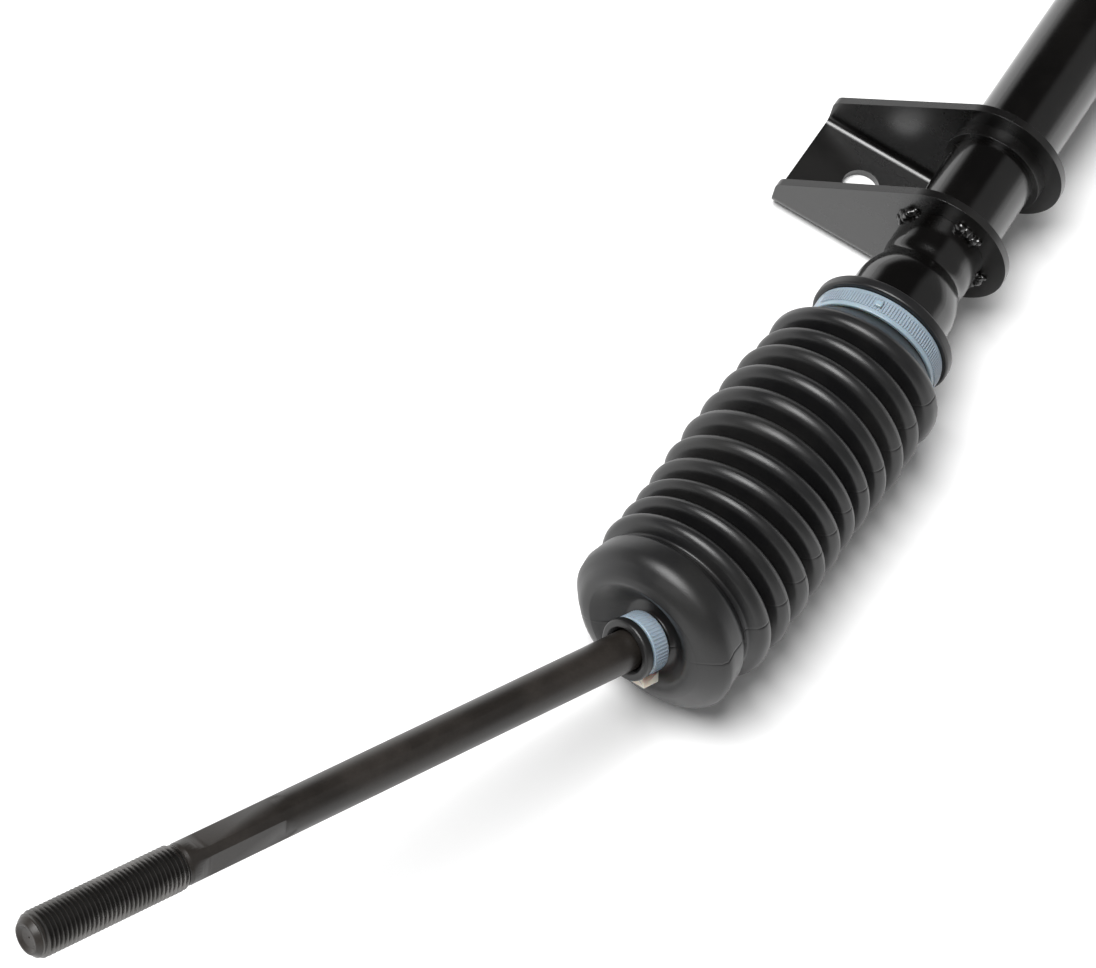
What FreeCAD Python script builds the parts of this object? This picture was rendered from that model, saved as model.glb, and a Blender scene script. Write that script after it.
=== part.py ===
# Rack and pinion steering gear of a small car, at its real size, in millimetres.
# A steel tube with a welded U bracket carries the rack, and a cast housing with two lugs
# carries the pinion. A tie rod swings on a ball joint at each end, under a rubber bellows.
# The origin is the centre of the bracket's bolt hole on its mounting face. +X runs along the
# rack to the near tie rod, +Z is the normal of the mounting face, and the gear rests on z = 0.

import FreeCAD, Part
import math
import os
from FreeCAD import Placement, Rotation, Vector

os.makedirs("parts", exist_ok=True)

# Layout of the gear

rack_axis_y = 37.5
rack_axis_z = 30.2
near_ball_x = 192.0
ball_span = 660.0
running_gap = 0.05
near_yaw = -22.6
near_pitch = 15.2
far_yaw = 0.0
far_pitch = 0.0

# Rack, and its teeth

rack_clearance = 1.5
tooth_module = 2.0
pinion_teeth = 8
pressure_angle = 20.0
pinion_shift = 0.53
backlash = 0.14
rack_flat_height = 8.0
rack_gap_reach = 13
pinion_to_ball = 210.0
rack_end_chamfer = 1.5
stud_radius = 8.0
stud_length = 20.0

# Tube, with its rolled groove and flared end

tube_radius = 15.25
tube_wall = 2.25
flare_radius = 18.0
groove_depth = 0.65
tube_near_end = 74.0
flare_length = 28.0
flare_rise = 7.0
groove_run_in = 3.0
socket_depth = 23.0
bush_length = 26.0
bush_setback = 2.0

# U bracket, folded from plate

plate = 3.0
bracket_near_x = 23.4
bracket_width = 43.8
bracket_round = 23.6
bracket_tip_y = -60.0
bracket_tip_z = -17.5
web_inner_y = -23.4
bend_radius = 5.5
tip_rounding = 4.0
bolt_hole_radius = 6.5
collar_length = 5.0
collar_wall = 2.2
weld_leg = 3.0
weld_count = 4
weld_sweep = 28.0
weld_start = -37.0

# Pinion housing, cast in one piece

barrel_wall = 4.25
rack_bore_clearance = 0.8
barrel_near_reach = 53.0
barrel_far_reach = 92.0
seat_length = 28.0
tower_radius = 22.5
tower_top = 61.0
tower_base = 1.0
guide_boss_radius = 19.5
guide_boss_reach = 44.0
guide_radius = 13.0
lug_radius = 13.5
lug_height = 14.0
lug_hole_radius = 6.25
front_lug_reach = 42.0
front_lug_y = -6.0
rear_lug_reach = -46.0
rear_lug_y = 92.0
lug_web = 16.0

# Pinion, its bearing, bush, seal, ring nut and caps

pinion_face = 26.0
tip_radius = 10.5
journal_radius = 6.0
journal_length = 11.0
bearing_bore = 8.5
bearing_outer = 17.5
bearing_width = 10.0
ball_radius = 2.4
ball_count = 9
groove_relief = 0.1
cage_wall = 0.9
snap_ring_wall = 1.6
snap_ring_thickness = 1.2
snap_groove_depth = 0.6
nut_height = 5.0
seal_outer = 13.0
seal_height = 6.0
shaft_radius = 8.0
shaft_top = 101.0
pinch_groove_depth = 1.2
pinch_groove_width = 9.0
spline_length = 24.0
spline_radius = 7.25
spline_relief = 0.5
bush_wall = 2.5
plug_height = 4.0
plug_wall = 1.3
cap_rise = 7.0
cap_wall = 1.6

# Rack guide, its O-ring, spring, adjuster and locknut

guide_length = 18.0
guide_wall_gap = 0.04
guide_cup_depth = 9.0
guide_cup_radius = 8.0
o_ring_section = 1.2
spring_wire = 1.4
spring_radius = 6.0
spring_turns = 3.0
adjuster_radius = 15.0
adjuster_length = 15.0
adjuster_hex = 10.0
adjuster_socket_depth = 6.0
locknut_flats = 38.0
locknut_height = 7.0

# Inner ball joints and tie rods

ball_joint_radius = 11.0
seat_wall = 2.0
joint_housing_radius = 14.8
joint_housing_back = 42.0
mouth_angle = 60.0
rim_wall = 0.85
spanner_flats = 26.0
spanner_length = 14.0
spanner_run_out = 2.0
mouth_taper = 4.0
mouth_rounding = 5.0
washer_thickness = 1.5
rod_length = 252.4
rod_radius = 6.5
rod_neck_radius = 4.8
rod_neck_end = 15.0
thread_radius = 7.0
thread_length = 52.5
thread_chamfer = 3.0
end_dimple_depth = 0.8
flats_start = 61.0
flats_length = 25.0
flats_across = 11.0
flats_turn = 20.0
cutter_radius = 14.0

# Bellows and ties

lip_radius = 24.85
lip_thickness = 3.8
cuff_radius = 22.0
cuff_length = 6.9
convolutions = 11
convolution_pitch = 10.2
first_crest_offset = -115.0
first_crest_radius = 28.5
crest_radius = 29.9
valley_radius = 23.2
crest_width = 3.2
bellows_wall = 1.6
dome_offset = -1.5
neck_lip_radius = 9.5
neck_groove_radius = 8.2
neck_front = 23.0
neck_lip_width = 3.0
neck_gap = 0.3
lean_at_dome = 0.536
lean_at_bend = 0.355
bend_offset = -60.0
large_tie_width = 6.4
small_tie_width = 6.0
tie_thickness = 1.35
tie_gap = 0.25
tie_head_length = 11.0
tie_head_height = 4.2
large_tie_turn = 200.0
small_tie_turn = 205.0

rack_radius = tube_radius - tube_wall - rack_clearance
rack_bore = rack_radius + rack_bore_clearance
groove_radius = tube_radius - groove_depth
barrel_radius = tube_radius + barrel_wall
far_ball_x = near_ball_x - ball_span
pinion_x = far_ball_x + pinion_to_ball
housing_near_x = pinion_x + barrel_near_reach
housing_far_x = pinion_x - barrel_far_reach
front_lug = (pinion_x + front_lug_reach, front_lug_y)
rear_lug = (pinion_x + rear_lug_reach, rear_lug_y)
x_axis = Vector(1, 0, 0)
y_axis = Vector(0, 1, 0)
z_axis = Vector(0, 0, 1)


def on_rack(x):
    """Point on the rack's own axis."""
    return Vector(x, rack_axis_y, rack_axis_z)


def save(name, shape):
    shape.exportStep("parts/" + name + ".step")


def closed_outline(points):
    """Closed wire through (along, out, rounding) points, each corner rounded by a tangent arc."""
    corners = [Vector(point[0], 0, point[1]) for point in points]
    roundings = [point[2] if len(point) > 2 else 0.0 for point in points]
    entries = []
    exits = []
    arcs = []
    for index, corner in enumerate(corners):
        before = (corners[index - 1] - corner).normalize()
        after = (corners[(index + 1) % len(corners)] - corner).normalize()
        rounding = roundings[index]
        if rounding == 0:
            entries.append(corner)
            exits.append(corner)
            arcs.append(None)
            continue
        half = before.getAngle(after) / 2
        reach = rounding / math.tan(half)
        middle = corner + (before + after).normalize() * (rounding / math.sin(half) - rounding)
        entries.append(corner + before * reach)
        exits.append(corner + after * reach)
        arcs.append(Part.Arc(entries[-1], middle, exits[-1]).toShape())
    edges = []
    for index, arc in enumerate(arcs):
        if arc:
            edges.append(arc)
        following = entries[(index + 1) % len(entries)]
        if exits[index].distanceToPoint(following) > 1e-6:
            edges.append(Part.LineSegment(exits[index], following).toShape())
    return Part.Wire(Part.__sortEdges__(edges))


def placed(shape, origin, direction):
    """Move a shape made along +X to an origin and a direction."""
    move = Placement(origin, Rotation(x_axis, direction))
    shape.Placement = move.multiply(shape.Placement)
    return shape


def turned(points, origin, direction=x_axis, sweep=360.0, start=0.0):
    """Solid of revolution of (along, radius, rounding) points about an axis."""
    solid = Part.Face(closed_outline(points)).revolve(Vector(), x_axis, sweep)
    solid.rotate(Vector(), x_axis, start)
    return placed(Part.Solid(solid) if solid.ShapeType != "Solid" else solid, origin, direction)


def rod(origin, direction, length, radius):
    return Part.makeCylinder(radius, length, origin, direction)


def hexagon(origin, direction, across_flats, height):
    """Hexagonal prism."""
    corner = across_flats / 2 / math.cos(math.pi / 6)
    points = []
    for side in range(7):
        angle = side * math.pi / 3
        points.append(Vector(0, corner * math.cos(angle), corner * math.sin(angle)))
    prism = Part.Face(Part.makePolygon(points)).extrude(Vector(height, 0, 0))
    return placed(prism, origin, direction)


# Tube: drawn steel, with a rolled groove and a flared end that the bellows sits on

def tube_outline(offset):
    """Radii along the tube from its far end to its near end, offset inwards by a wall."""
    flare_start = tube_near_end - flare_length
    return [
        (housing_near_x - socket_depth, tube_radius - offset),
        (flare_start - flare_rise - groove_run_in, tube_radius - offset, 4.0),
        (flare_start - flare_rise, groove_radius - offset, 1.5),
        (flare_start, flare_radius - offset, 3.0),
        (tube_near_end, flare_radius - offset),
    ]


def make_tube():
    inner = list(reversed(tube_outline(tube_wall)))
    return turned(tube_outline(0.0) + inner, on_rack(0))


def bush_span():
    near = tube_near_end - flare_length - flare_rise - groove_run_in - bush_setback
    return near - bush_length, near


def make_bush():
    far, near = bush_span()
    bore = rack_radius + running_gap
    outer = tube_radius - tube_wall
    return turned([(far, bore, 0.3), (near, bore, 0.3), (near, outer), (far, outer)], on_rack(0))


# Bracket: one folded plate with two round ears, welded round the tube

def tangent_point(point, radius, side):
    """Where a line from a point touches a circle about the origin, on the side asked for."""
    distance = math.hypot(point[0], point[1])
    turn = math.acos(radius / distance) * side
    angle = math.atan2(point[1], point[0]) + turn
    return radius * math.cos(angle), radius * math.sin(angle)


def make_bracket():
    far_x = bracket_near_x - bracket_width
    bottom = -rack_axis_z
    tip = (bracket_tip_y, bracket_tip_z)
    heel = (web_inner_y, bottom)
    upper = tangent_point(tip, bracket_round, -1)
    lower = tangent_point(heel, bracket_round, 1)
    crown = math.atan2(upper[1], upper[0]) / 2 + math.atan2(lower[1], lower[0]) / 2
    crown_point = (bracket_round * math.cos(crown), bracket_round * math.sin(crown))

    def at(point):
        return Vector(far_x - 1, rack_axis_y + point[0], rack_axis_z + point[1])

    edges = [
        Part.Arc(at(upper), at(crown_point), at(lower)).toShape(),
        Part.LineSegment(at(lower), at(heel)).toShape(),
        Part.LineSegment(at(heel), at((bracket_tip_y, bottom))).toShape(),
        Part.LineSegment(at((bracket_tip_y, bottom)), at(tip)).toShape(),
        Part.LineSegment(at(tip), at(upper)).toShape(),
    ]
    side_view = Part.Face(Part.Wire(edges)).extrude(Vector(bracket_width + 2, 0, 0))
    side_view = round_tips(side_view)
    depth = 2 * bracket_round - bracket_tip_y
    height = rack_axis_z + bracket_round + 1
    start = Vector(far_x, rack_axis_y + bracket_tip_y - 1, 0)
    outer = folded_block(start, bracket_width, depth, height, bend_radius)
    inner_start = start + Vector(plate, -1, plate)
    inner_width = bracket_width - 2 * plate
    inner = folded_block(inner_start, inner_width, depth + 2, height, bend_radius - plate)
    body = outer.cut(inner).common(side_view)
    collar = rod(on_rack(far_x + plate), x_axis, collar_length, tube_radius + collar_wall)
    body = body.fuse(collar)
    body = body.cut(rod(on_rack(far_x - 5), x_axis, bracket_width + 10, tube_radius))
    body = body.cut(rod(Vector(0, 0, -1), z_axis, plate + 2, bolt_hole_radius))
    return body.removeSplitter().Solids[0]


def round_tips(prism):
    """Round the upright corner at the tip of each ear."""
    tips = []
    for edge in prism.Edges:
        middle = edge.CenterOfMass
        tip_y = rack_axis_y + bracket_tip_y
        tip_z = rack_axis_z + bracket_tip_z
        if abs(middle.y - tip_y) < 0.01 and abs(middle.z - tip_z) < 0.01:
            tips.append(edge)
    return prism.makeFillet(tip_rounding, tips)


def folded_block(start, width, depth, height, radius):
    """Block whose two lower long edges are rounded, as a folded channel is."""
    block = Part.makeBox(width, depth, height, start)
    lower = []
    for edge in block.Edges:
        middle = edge.CenterOfMass
        if abs(middle.z - start.z) < 0.01 and abs(middle.y - start.y - depth / 2) < 0.01:
            lower.append(edge)
    return block.makeFillet(radius, lower)


def make_welds():
    """Fillet weld beads between the tube and the outer face of each ear."""
    beads = []
    ears = ((bracket_near_x, x_axis), (bracket_near_x - bracket_width, x_axis * -1))
    outline = [
        (0, tube_radius),
        (weld_leg, tube_radius, 0.4),
        (weld_leg * 0.62, tube_radius + weld_leg * 0.62, 0.8),
        (0, tube_radius + weld_leg, 0.4),
    ]
    for ear_x, outward in ears:
        for bead in range(weld_count):
            start = weld_start + bead * 360.0 / weld_count
            beads.append(turned(outline, on_rack(ear_x), outward, weld_sweep, start))
    return Part.makeCompound(beads)


# Pinion housing: barrel, pinion tower, guide boss and two lugs

pitch_radius = tooth_module * pinion_teeth / 2
pitch_line = rack_flat_height - tooth_module
pinion_y = rack_axis_y + pitch_line + pitch_radius + pinion_shift * tooth_module
teeth_base = rack_axis_z - pinion_face / 2
teeth_top = rack_axis_z + pinion_face / 2
shoulder = 1.8
bearing_base = teeth_top + shoulder
nut_base = bearing_base + bearing_width
journal_base = teeth_base - journal_length
guide_start = rack_radius - 5.5
adjuster_base = guide_start + guide_length + 2.5
boss_face = guide_boss_reach - 2.0


def lug(place):
    """Bolt boss on its web, reaching in under the barrel or the tower."""
    boss = turned([(0, 0), (0, lug_radius, 1.0), (lug_height, lug_radius, 1.5), (lug_height, 0)],
                  Vector(place[0], place[1], 0), z_axis)
    target = Vector(pinion_x, rack_axis_y, 0)
    reach = target - Vector(place[0], place[1], 0)
    arm = Part.makeBox(reach.Length, lug_web, lug_height - 2, Vector(0, -lug_web / 2, 1.5))
    return boss, placed(arm, Vector(place[0], place[1], 0), reach)


def make_pinion_housing():
    neck_end = housing_far_x + seat_length
    barrel = turned([
        (housing_far_x, 0), (housing_far_x, flare_radius, 1.0), (neck_end, flare_radius, 1.0),
        (neck_end + 3, barrel_radius, 1.0), (housing_near_x - 3, barrel_radius, 3.0),
        (housing_near_x, barrel_radius - 2, 0.8), (housing_near_x, 0)], on_rack(0))
    tower_axis = Vector(pinion_x, pinion_y, 0)
    tower = turned([
        (tower_base, 0), (tower_base, journal_radius + bush_wall + 6, 2.0),
        (teeth_base - 4, journal_radius + bush_wall + 7, 3.0),
        (bearing_base - 4, tower_radius, 4.0), (tower_top, tower_radius, 1.2), (tower_top, 0)],
        tower_axis, z_axis)
    boss = turned([
        (0, 0), (0, guide_boss_radius), (boss_face - 5, guide_boss_radius, 1.5),
        (boss_face - 4, guide_boss_radius + 1.5, 1.0), (boss_face, guide_boss_radius + 1.5, 1.0),
        (boss_face, 0)], Vector(pinion_x, rack_axis_y, rack_axis_z), y_axis * -1)
    body = barrel.fuse([tower, boss])
    for place in (front_lug, rear_lug):
        body = body.fuse(list(lug(place)))
    return drill_housing(body, tower_axis)


def drill_housing(body, tower_axis):
    """All the bores that a machinist cuts in the casting."""
    length = housing_near_x - housing_far_x
    guide_origin = Vector(pinion_x, rack_axis_y, rack_axis_z)
    cuts = [
        rod(on_rack(housing_far_x - 1), x_axis, length + 2, rack_bore),
        rod(on_rack(housing_near_x - socket_depth), x_axis, socket_depth + 1, tube_radius),
        rod(tower_axis, z_axis, tower_top, journal_radius + bush_wall),
        rod(tower_axis + Vector(0, 0, teeth_base - 1), z_axis, tower_top, tip_radius + 0.9),
        rod(tower_axis + Vector(0, 0, bearing_base), z_axis, tower_top, bearing_outer),
        rod(guide_origin, y_axis * -1, guide_boss_reach + 5, guide_radius),
        rod(guide_origin - y_axis * adjuster_base, y_axis * -1, guide_boss_reach, adjuster_radius),
    ]
    for place in (front_lug, rear_lug):
        cuts.append(rod(Vector(place[0], place[1], -1), z_axis, lug_height + 5, lug_hole_radius))
    return body.cut(cuts).removeSplitter().Solids[0]


# Rack bar: ground bar with straight teeth cut across one side

def make_rack_bar():
    near_end = near_ball_x - joint_housing_back - washer_thickness
    far_end = far_ball_x + joint_housing_back + washer_thickness
    bar = turned([
        (far_end, stud_radius), (far_end, rack_radius, rack_end_chamfer),
        (near_end, rack_radius, rack_end_chamfer), (near_end, stud_radius),
        (near_end - stud_length, stud_radius), (near_end - stud_length, 0),
        (far_end + stud_length, 0), (far_end + stud_length, stud_radius)], on_rack(0))
    pitch = math.pi * tooth_module
    half_length = (rack_gap_reach + 0.5) * pitch
    flat = Part.makeBox(2 * half_length, rack_radius, 2 * rack_radius + 2,
                        Vector(pinion_x - half_length, rack_axis_y + rack_flat_height,
                               rack_axis_z - rack_radius - 1))
    return bar.cut([flat] + tooth_gaps(pitch)).removeSplitter().Solids[0]


def tooth_gaps(pitch):
    """One trapezoid prism for each gap of the rack, with the backlash shared by its flanks."""
    slope = math.tan(math.radians(pressure_angle))
    root = pitch_line - 1.25 * tooth_module
    above = rack_flat_height + 0.5
    half = pitch / 4 + backlash / 2
    gaps = []
    for step in range(-rack_gap_reach, rack_gap_reach + 1):
        centre = pinion_x + step * pitch
        bottom = half - (pitch_line - root) * slope
        top = half + (above - pitch_line) * slope
        points = [(centre - bottom, root), (centre + bottom, root),
                  (centre + top, above), (centre - top, above), (centre - bottom, root)]
        corners = [Vector(x, rack_axis_y + y, rack_axis_z - rack_radius - 1) for x, y in points]
        gaps.append(Part.Face(Part.makePolygon(corners)).extrude(Vector(0, 0, 2 * rack_radius + 2)))
    return gaps


# Pinion shaft: involute teeth, a journal below, a bearing seat and a splined end above

def involute_flank(base_radius, start_radius, points=6):
    """Radius and polar angle along an involute, from its base circle to the tip."""
    flank = []
    for index in range(points):
        radius = start_radius + (tip_radius - start_radius) * index / (points - 1)
        roll = math.sqrt(max((radius / base_radius) ** 2 - 1, 0.0))
        flank.append((radius, roll - math.atan(roll)))
    return flank


def tooth_wire():
    """Outline of the whole pinion section, with one tooth pointing at the rack."""
    base_radius = pitch_radius * math.cos(math.radians(pressure_angle))
    slope = math.tan(math.radians(pressure_angle))
    involute_at_pitch = slope - math.radians(pressure_angle)
    thickness = tooth_module * (math.pi / 2 + 2 * pinion_shift * slope) - backlash / 2
    half_angle = thickness / 2 / pitch_radius + involute_at_pitch
    root_radius = pitch_radius - tooth_module * (1.25 - pinion_shift)
    flank = involute_flank(base_radius, base_radius)

    def at(radius, angle):
        return Vector(radius * math.cos(angle), radius * math.sin(angle), 0)

    edges = []
    step = 2 * math.pi / pinion_teeth
    for tooth in range(pinion_teeth):
        centre = -math.pi / 2 + tooth * step
        left = [at(radius, centre - half_angle + angle) for radius, angle in flank]
        right = [at(radius, centre + half_angle - angle) for radius, angle in reversed(flank)]
        rise = Part.BSplineCurve()
        rise.interpolate(left)
        fall = Part.BSplineCurve()
        fall.interpolate(right)
        root_left = at(root_radius, centre - half_angle)
        root_right = at(root_radius, centre + half_angle)
        next_root = at(root_radius, centre + step - half_angle)
        edges.append(Part.LineSegment(root_left, left[0]).toShape())
        edges.append(rise.toShape())
        edges.append(Part.Arc(left[-1], at(tip_radius, centre), right[0]).toShape())
        edges.append(fall.toShape())
        edges.append(Part.LineSegment(right[-1], root_right).toShape())
        edges.append(Part.Arc(root_right, at(root_radius, centre + step / 2), next_root).toShape())
    return Part.Wire(edges)


def make_pinion_shaft():
    section = Part.Face(tooth_wire())
    teeth = section.extrude(Vector(0, 0, pinion_face))
    teeth.translate(Vector(pinion_x, pinion_y, teeth_base))
    axis = Vector(pinion_x, pinion_y, 0)
    snap_base = bearing_base + bearing_width
    spline_base = shaft_top - spline_length
    groove_middle = spline_base + spline_length / 2 - 2
    seat = bearing_bore
    core = turned([
        (journal_base, 0), (journal_base, journal_radius, 0.6), (teeth_base + 1, journal_radius),
        (teeth_top - 1, journal_radius), (teeth_top - 0.01, tip_radius),
        (bearing_base, tip_radius, 0.3), (bearing_base, seat), (snap_base, seat),
        (snap_base, seat - snap_groove_depth), (snap_base + snap_ring_thickness,
                                               seat - snap_groove_depth),
        (snap_base + snap_ring_thickness, seat), (snap_base + 2.2, seat, 0.3),
        (snap_base + 2.8, shaft_radius, 0.3), (spline_base - 3.5, shaft_radius, 0.4),
        (spline_base - 2.5, spline_radius - spline_relief, 0.4),
        (spline_base - 0.5, spline_radius - spline_relief, 0.3),
        (spline_base, spline_radius), (shaft_top, spline_radius, 1.2), (shaft_top, 0)],
        axis, z_axis)
    groove = turned([
        (groove_middle - pinch_groove_width / 2, spline_radius + 1),
        (groove_middle - pinch_groove_width / 2, spline_radius),
        (groove_middle, spline_radius - 2 * pinch_groove_depth, pinch_groove_width / 1.6),
        (groove_middle + pinch_groove_width / 2, spline_radius),
        (groove_middle + pinch_groove_width / 2, spline_radius + 1)], axis, z_axis)
    return core.fuse(teeth).cut(groove).removeSplitter().Solids[0]


def bearing_parts():
    """Outer ring, inner ring, balls and cage of the pinion's ball bearing."""
    axis = Vector(pinion_x, pinion_y, bearing_base)
    middle = bearing_width / 2
    pitch = (bearing_bore + bearing_outer) / 2
    half_gap = ball_radius * 0.55
    race = Part.makeTorus(pitch, ball_radius + groove_relief, axis + Vector(0, 0, middle))
    outer = turned([(0, pitch + half_gap, 0.2), (bearing_width, pitch + half_gap, 0.2),
                    (bearing_width, bearing_outer, 0.5), (0, bearing_outer, 0.5)], axis, z_axis)
    inner = turned([(0, bearing_bore, 0.4), (bearing_width, bearing_bore, 0.4),
                    (bearing_width, pitch - half_gap, 0.2), (0, pitch - half_gap, 0.2)],
                   axis, z_axis)
    balls = []
    cage = turned([(middle - 1.6, pitch - cage_wall / 2), (middle + 1.6, pitch - cage_wall / 2),
                   (middle + 1.6, pitch + cage_wall / 2), (middle - 1.6, pitch + cage_wall / 2)],
                  axis, z_axis)
    for index in range(ball_count):
        angle = index * 2 * math.pi / ball_count
        centre = axis + Vector(pitch * math.cos(angle), pitch * math.sin(angle), middle)
        balls.append(Part.makeSphere(ball_radius, centre))
        cage = cage.cut(Part.makeSphere(ball_radius + running_gap, centre))
    return outer.cut(race), inner.cut(race), Part.makeCompound(balls), Part.makeCompound(cage.Solids)


def make_snap_ring():
    axis = Vector(pinion_x, pinion_y, nut_base)
    bottom = bearing_bore - snap_groove_depth
    ring = turned([(0, bottom), (snap_ring_thickness, bottom),
                   (snap_ring_thickness, bottom + snap_ring_wall), (0, bottom + snap_ring_wall)],
                  axis, z_axis)
    gap = Part.makeBox(bearing_outer, 4.0, 10, axis + Vector(0, -2.0, -5))
    return ring.cut(gap).Solids[0]


def make_ring_nut():
    """Threaded ring over the bearing's outer ring, with six notches for its spanner."""
    axis = Vector(pinion_x, pinion_y, nut_base)
    nut = turned([(0, seal_outer), (nut_height, seal_outer), (nut_height, bearing_outer, 0.5),
                  (0, bearing_outer, 0.3)], axis, z_axis)
    notches = []
    for index in range(6):
        notch = Part.makeBox(4.0, 3.4, 2.0, Vector(seal_outer + 1.6, -1.7, nut_height - 1.8))
        notch.rotate(Vector(), z_axis, index * 60)
        notch.translate(axis)
        notches.append(notch)
    return nut.cut(notches).Solids[0]


def make_seal():
    """Rubber lip seal that rides on the pinion shaft, inside the ring nut."""
    axis = Vector(pinion_x, pinion_y, nut_base + 2.9)
    lip = shaft_radius + running_gap
    top = seal_height - 2.9
    return turned([(0, lip + 2.4, 0.4), (1.2, lip), (1.8, lip), (2.6, lip + 1.6),
                   (top, lip + 1.6), (top, seal_outer), (0, seal_outer)], axis, z_axis)


def make_dust_cap():
    """Rubber cap pressed over the top of the tower, with a lip round the shaft."""
    axis = Vector(pinion_x, pinion_y, tower_top)
    outer = tower_radius + cap_wall
    inner = shaft_radius + 0.3
    return turned([
        (-6.0, tower_radius), (-6.0, outer, 0.5), (1.2, outer, 1.5), (2.4, tower_radius - 4, 2.0),
        (cap_rise, shaft_radius + 4.5, 1.2), (cap_rise, inner, 0.4), (cap_rise - 2, inner, 0.4),
        (1.0, shaft_radius + 5.2, 1.0), (0.0, bearing_outer + 1.0), (0.0, tower_radius)],
        axis, z_axis)


def make_lower_bush():
    base = journal_base + 0.5
    bore = journal_radius + running_gap
    top = teeth_base - 1.0
    return turned([(base, bore, 0.3), (top, bore, 0.3), (top, bore + bush_wall - running_gap),
                   (base, bore + bush_wall - running_gap)],
                  Vector(pinion_x, pinion_y, 0), z_axis)


def make_bottom_plug():
    """Pressed cup that closes the tower under the pinion."""
    radius = journal_radius + bush_wall
    top = tower_base + plug_height
    return turned([(tower_base, 0), (tower_base, radius, 0.8), (top, radius),
                   (top, radius - plug_wall), (tower_base + plug_wall, radius - plug_wall, 0.5),
                   (tower_base + plug_wall, 0)], Vector(pinion_x, pinion_y, 0), z_axis)


# Rack guide, pushed against the back of the rack by its spring

def make_guide():
    origin = Vector(pinion_x, rack_axis_y, rack_axis_z)
    back = guide_start + guide_length
    radius = guide_radius - guide_wall_gap
    ring_at = guide_start + guide_length * 0.62
    ring_half = o_ring_section
    body = turned([
        (guide_start, 0), (guide_start, radius, 0.8), (ring_at - ring_half, radius),
        (ring_at - ring_half, radius - 2 * o_ring_section),
        (ring_at + ring_half, radius - 2 * o_ring_section), (ring_at + ring_half, radius),
        (back, radius, 0.6), (back, guide_cup_radius), (back - guide_cup_depth, guide_cup_radius),
        (back - guide_cup_depth, 0)], origin, y_axis * -1)
    rack_way = rod(on_rack(pinion_x - 20), x_axis, 40, rack_radius + running_gap)
    ring = Part.makeTorus(radius - o_ring_section + 0.03, o_ring_section - 0.02,
                          origin - y_axis * ring_at, y_axis)
    return body.cut(rack_way).Solids[0], ring


def make_spring():
    """Helical spring in the guide's cup, against the adjuster."""
    start = guide_start + guide_length - guide_cup_depth
    free = adjuster_base - start - spring_wire
    helix = Part.makeHelix(free / spring_turns, free, spring_radius)
    section = Part.Wire(Part.makeCircle(spring_wire / 2, Vector(spring_radius, 0, 0), y_axis))
    coil = Part.Wire(helix).makePipeShell([section], True, True)
    coil.Placement = Placement(Vector(pinion_x, rack_axis_y - start - spring_wire / 2, rack_axis_z),
                               Rotation(z_axis, y_axis * -1))
    return Part.Solid(coil) if coil.ShapeType != "Solid" else coil


def make_adjuster():
    origin = Vector(pinion_x, rack_axis_y, rack_axis_z)
    back = adjuster_base + adjuster_length
    plug = turned([(adjuster_base, 0), (adjuster_base, adjuster_radius, 1.0),
                   (back, adjuster_radius, 1.2), (back, 0)], origin, y_axis * -1)
    socket = hexagon(origin - y_axis * (back - adjuster_socket_depth), y_axis * -1, adjuster_hex, 10)
    return plug.cut(socket).Solids[0]


def make_locknut():
    origin = Vector(pinion_x, rack_axis_y - boss_face, rack_axis_z)
    nut = hexagon(origin, y_axis * -1, locknut_flats, locknut_height)
    corner = locknut_flats / 2 / math.cos(math.pi / 6)
    dome = turned([(0, 0), (0, corner - 0.5), (1.2, corner), (locknut_height - 1.6, corner),
                   (locknut_height, corner - 2.6), (locknut_height, 0)], origin, y_axis * -1)
    return nut.common(dome).cut(rod(origin, y_axis * -1, 20, adjuster_radius)).Solids[0]


# Inner ball joints

def ball_centre(side):
    return on_rack(near_ball_x) if side == "near" else on_rack(far_ball_x)


def outward(side):
    return x_axis if side == "near" else x_axis * -1


def rod_direction(side):
    """Direction of a tie rod from its ball to its threaded end."""
    yaw = math.radians(near_yaw if side == "near" else far_yaw)
    pitch = math.radians(near_pitch if side == "near" else far_pitch)
    sign = 1 if side == "near" else -1
    return Vector(sign * math.cos(yaw) * math.cos(pitch), sign * math.sin(yaw) * math.cos(pitch),
                  math.sin(pitch))


def yawed_direction(side):
    """The tie rod's direction seen from above, which the ball's seat turns with."""
    flat = rod_direction(side)
    return Vector(flat.x, flat.y, 0).normalize()


def make_joint_housing(side):
    """Steel cup that screws into the rack's end and is rolled over the ball's seat."""
    seat_radius = ball_joint_radius + running_gap + seat_wall
    cavity = seat_radius + running_gap
    mouth = math.radians(mouth_angle)
    front = cavity * math.cos(mouth)
    lip = cavity * math.sin(mouth)
    back = -joint_housing_back
    cup = turned([
        (back - washer_thickness - stud_length + 1, 0),
        (back - washer_thickness - stud_length + 1, stud_radius, 1.0), (back, stud_radius),
        (back, spanner_flats / 2, 1.0), (back + spanner_length, spanner_flats / 2, 1.0),
        (back + spanner_length + spanner_run_out, joint_housing_radius, 1.0),
        (front - mouth_taper, joint_housing_radius, mouth_rounding),
        (front, lip + rim_wall, 0.3), (front, 0)], ball_centre(side), outward(side))
    cup = cup.cut(Part.makeSphere(cavity, ball_centre(side), x_axis))
    flats = []
    for turn in (0, 180):
        slab = Part.makeBox(spanner_length, 10, 50, Vector(back, spanner_flats / 2 - 2.0, -25))
        slab.rotate(Vector(), x_axis, turn)
        flats.append(placed(slab, ball_centre(side), outward(side)))
    return cup.cut(flats).Solids[0]


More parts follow.
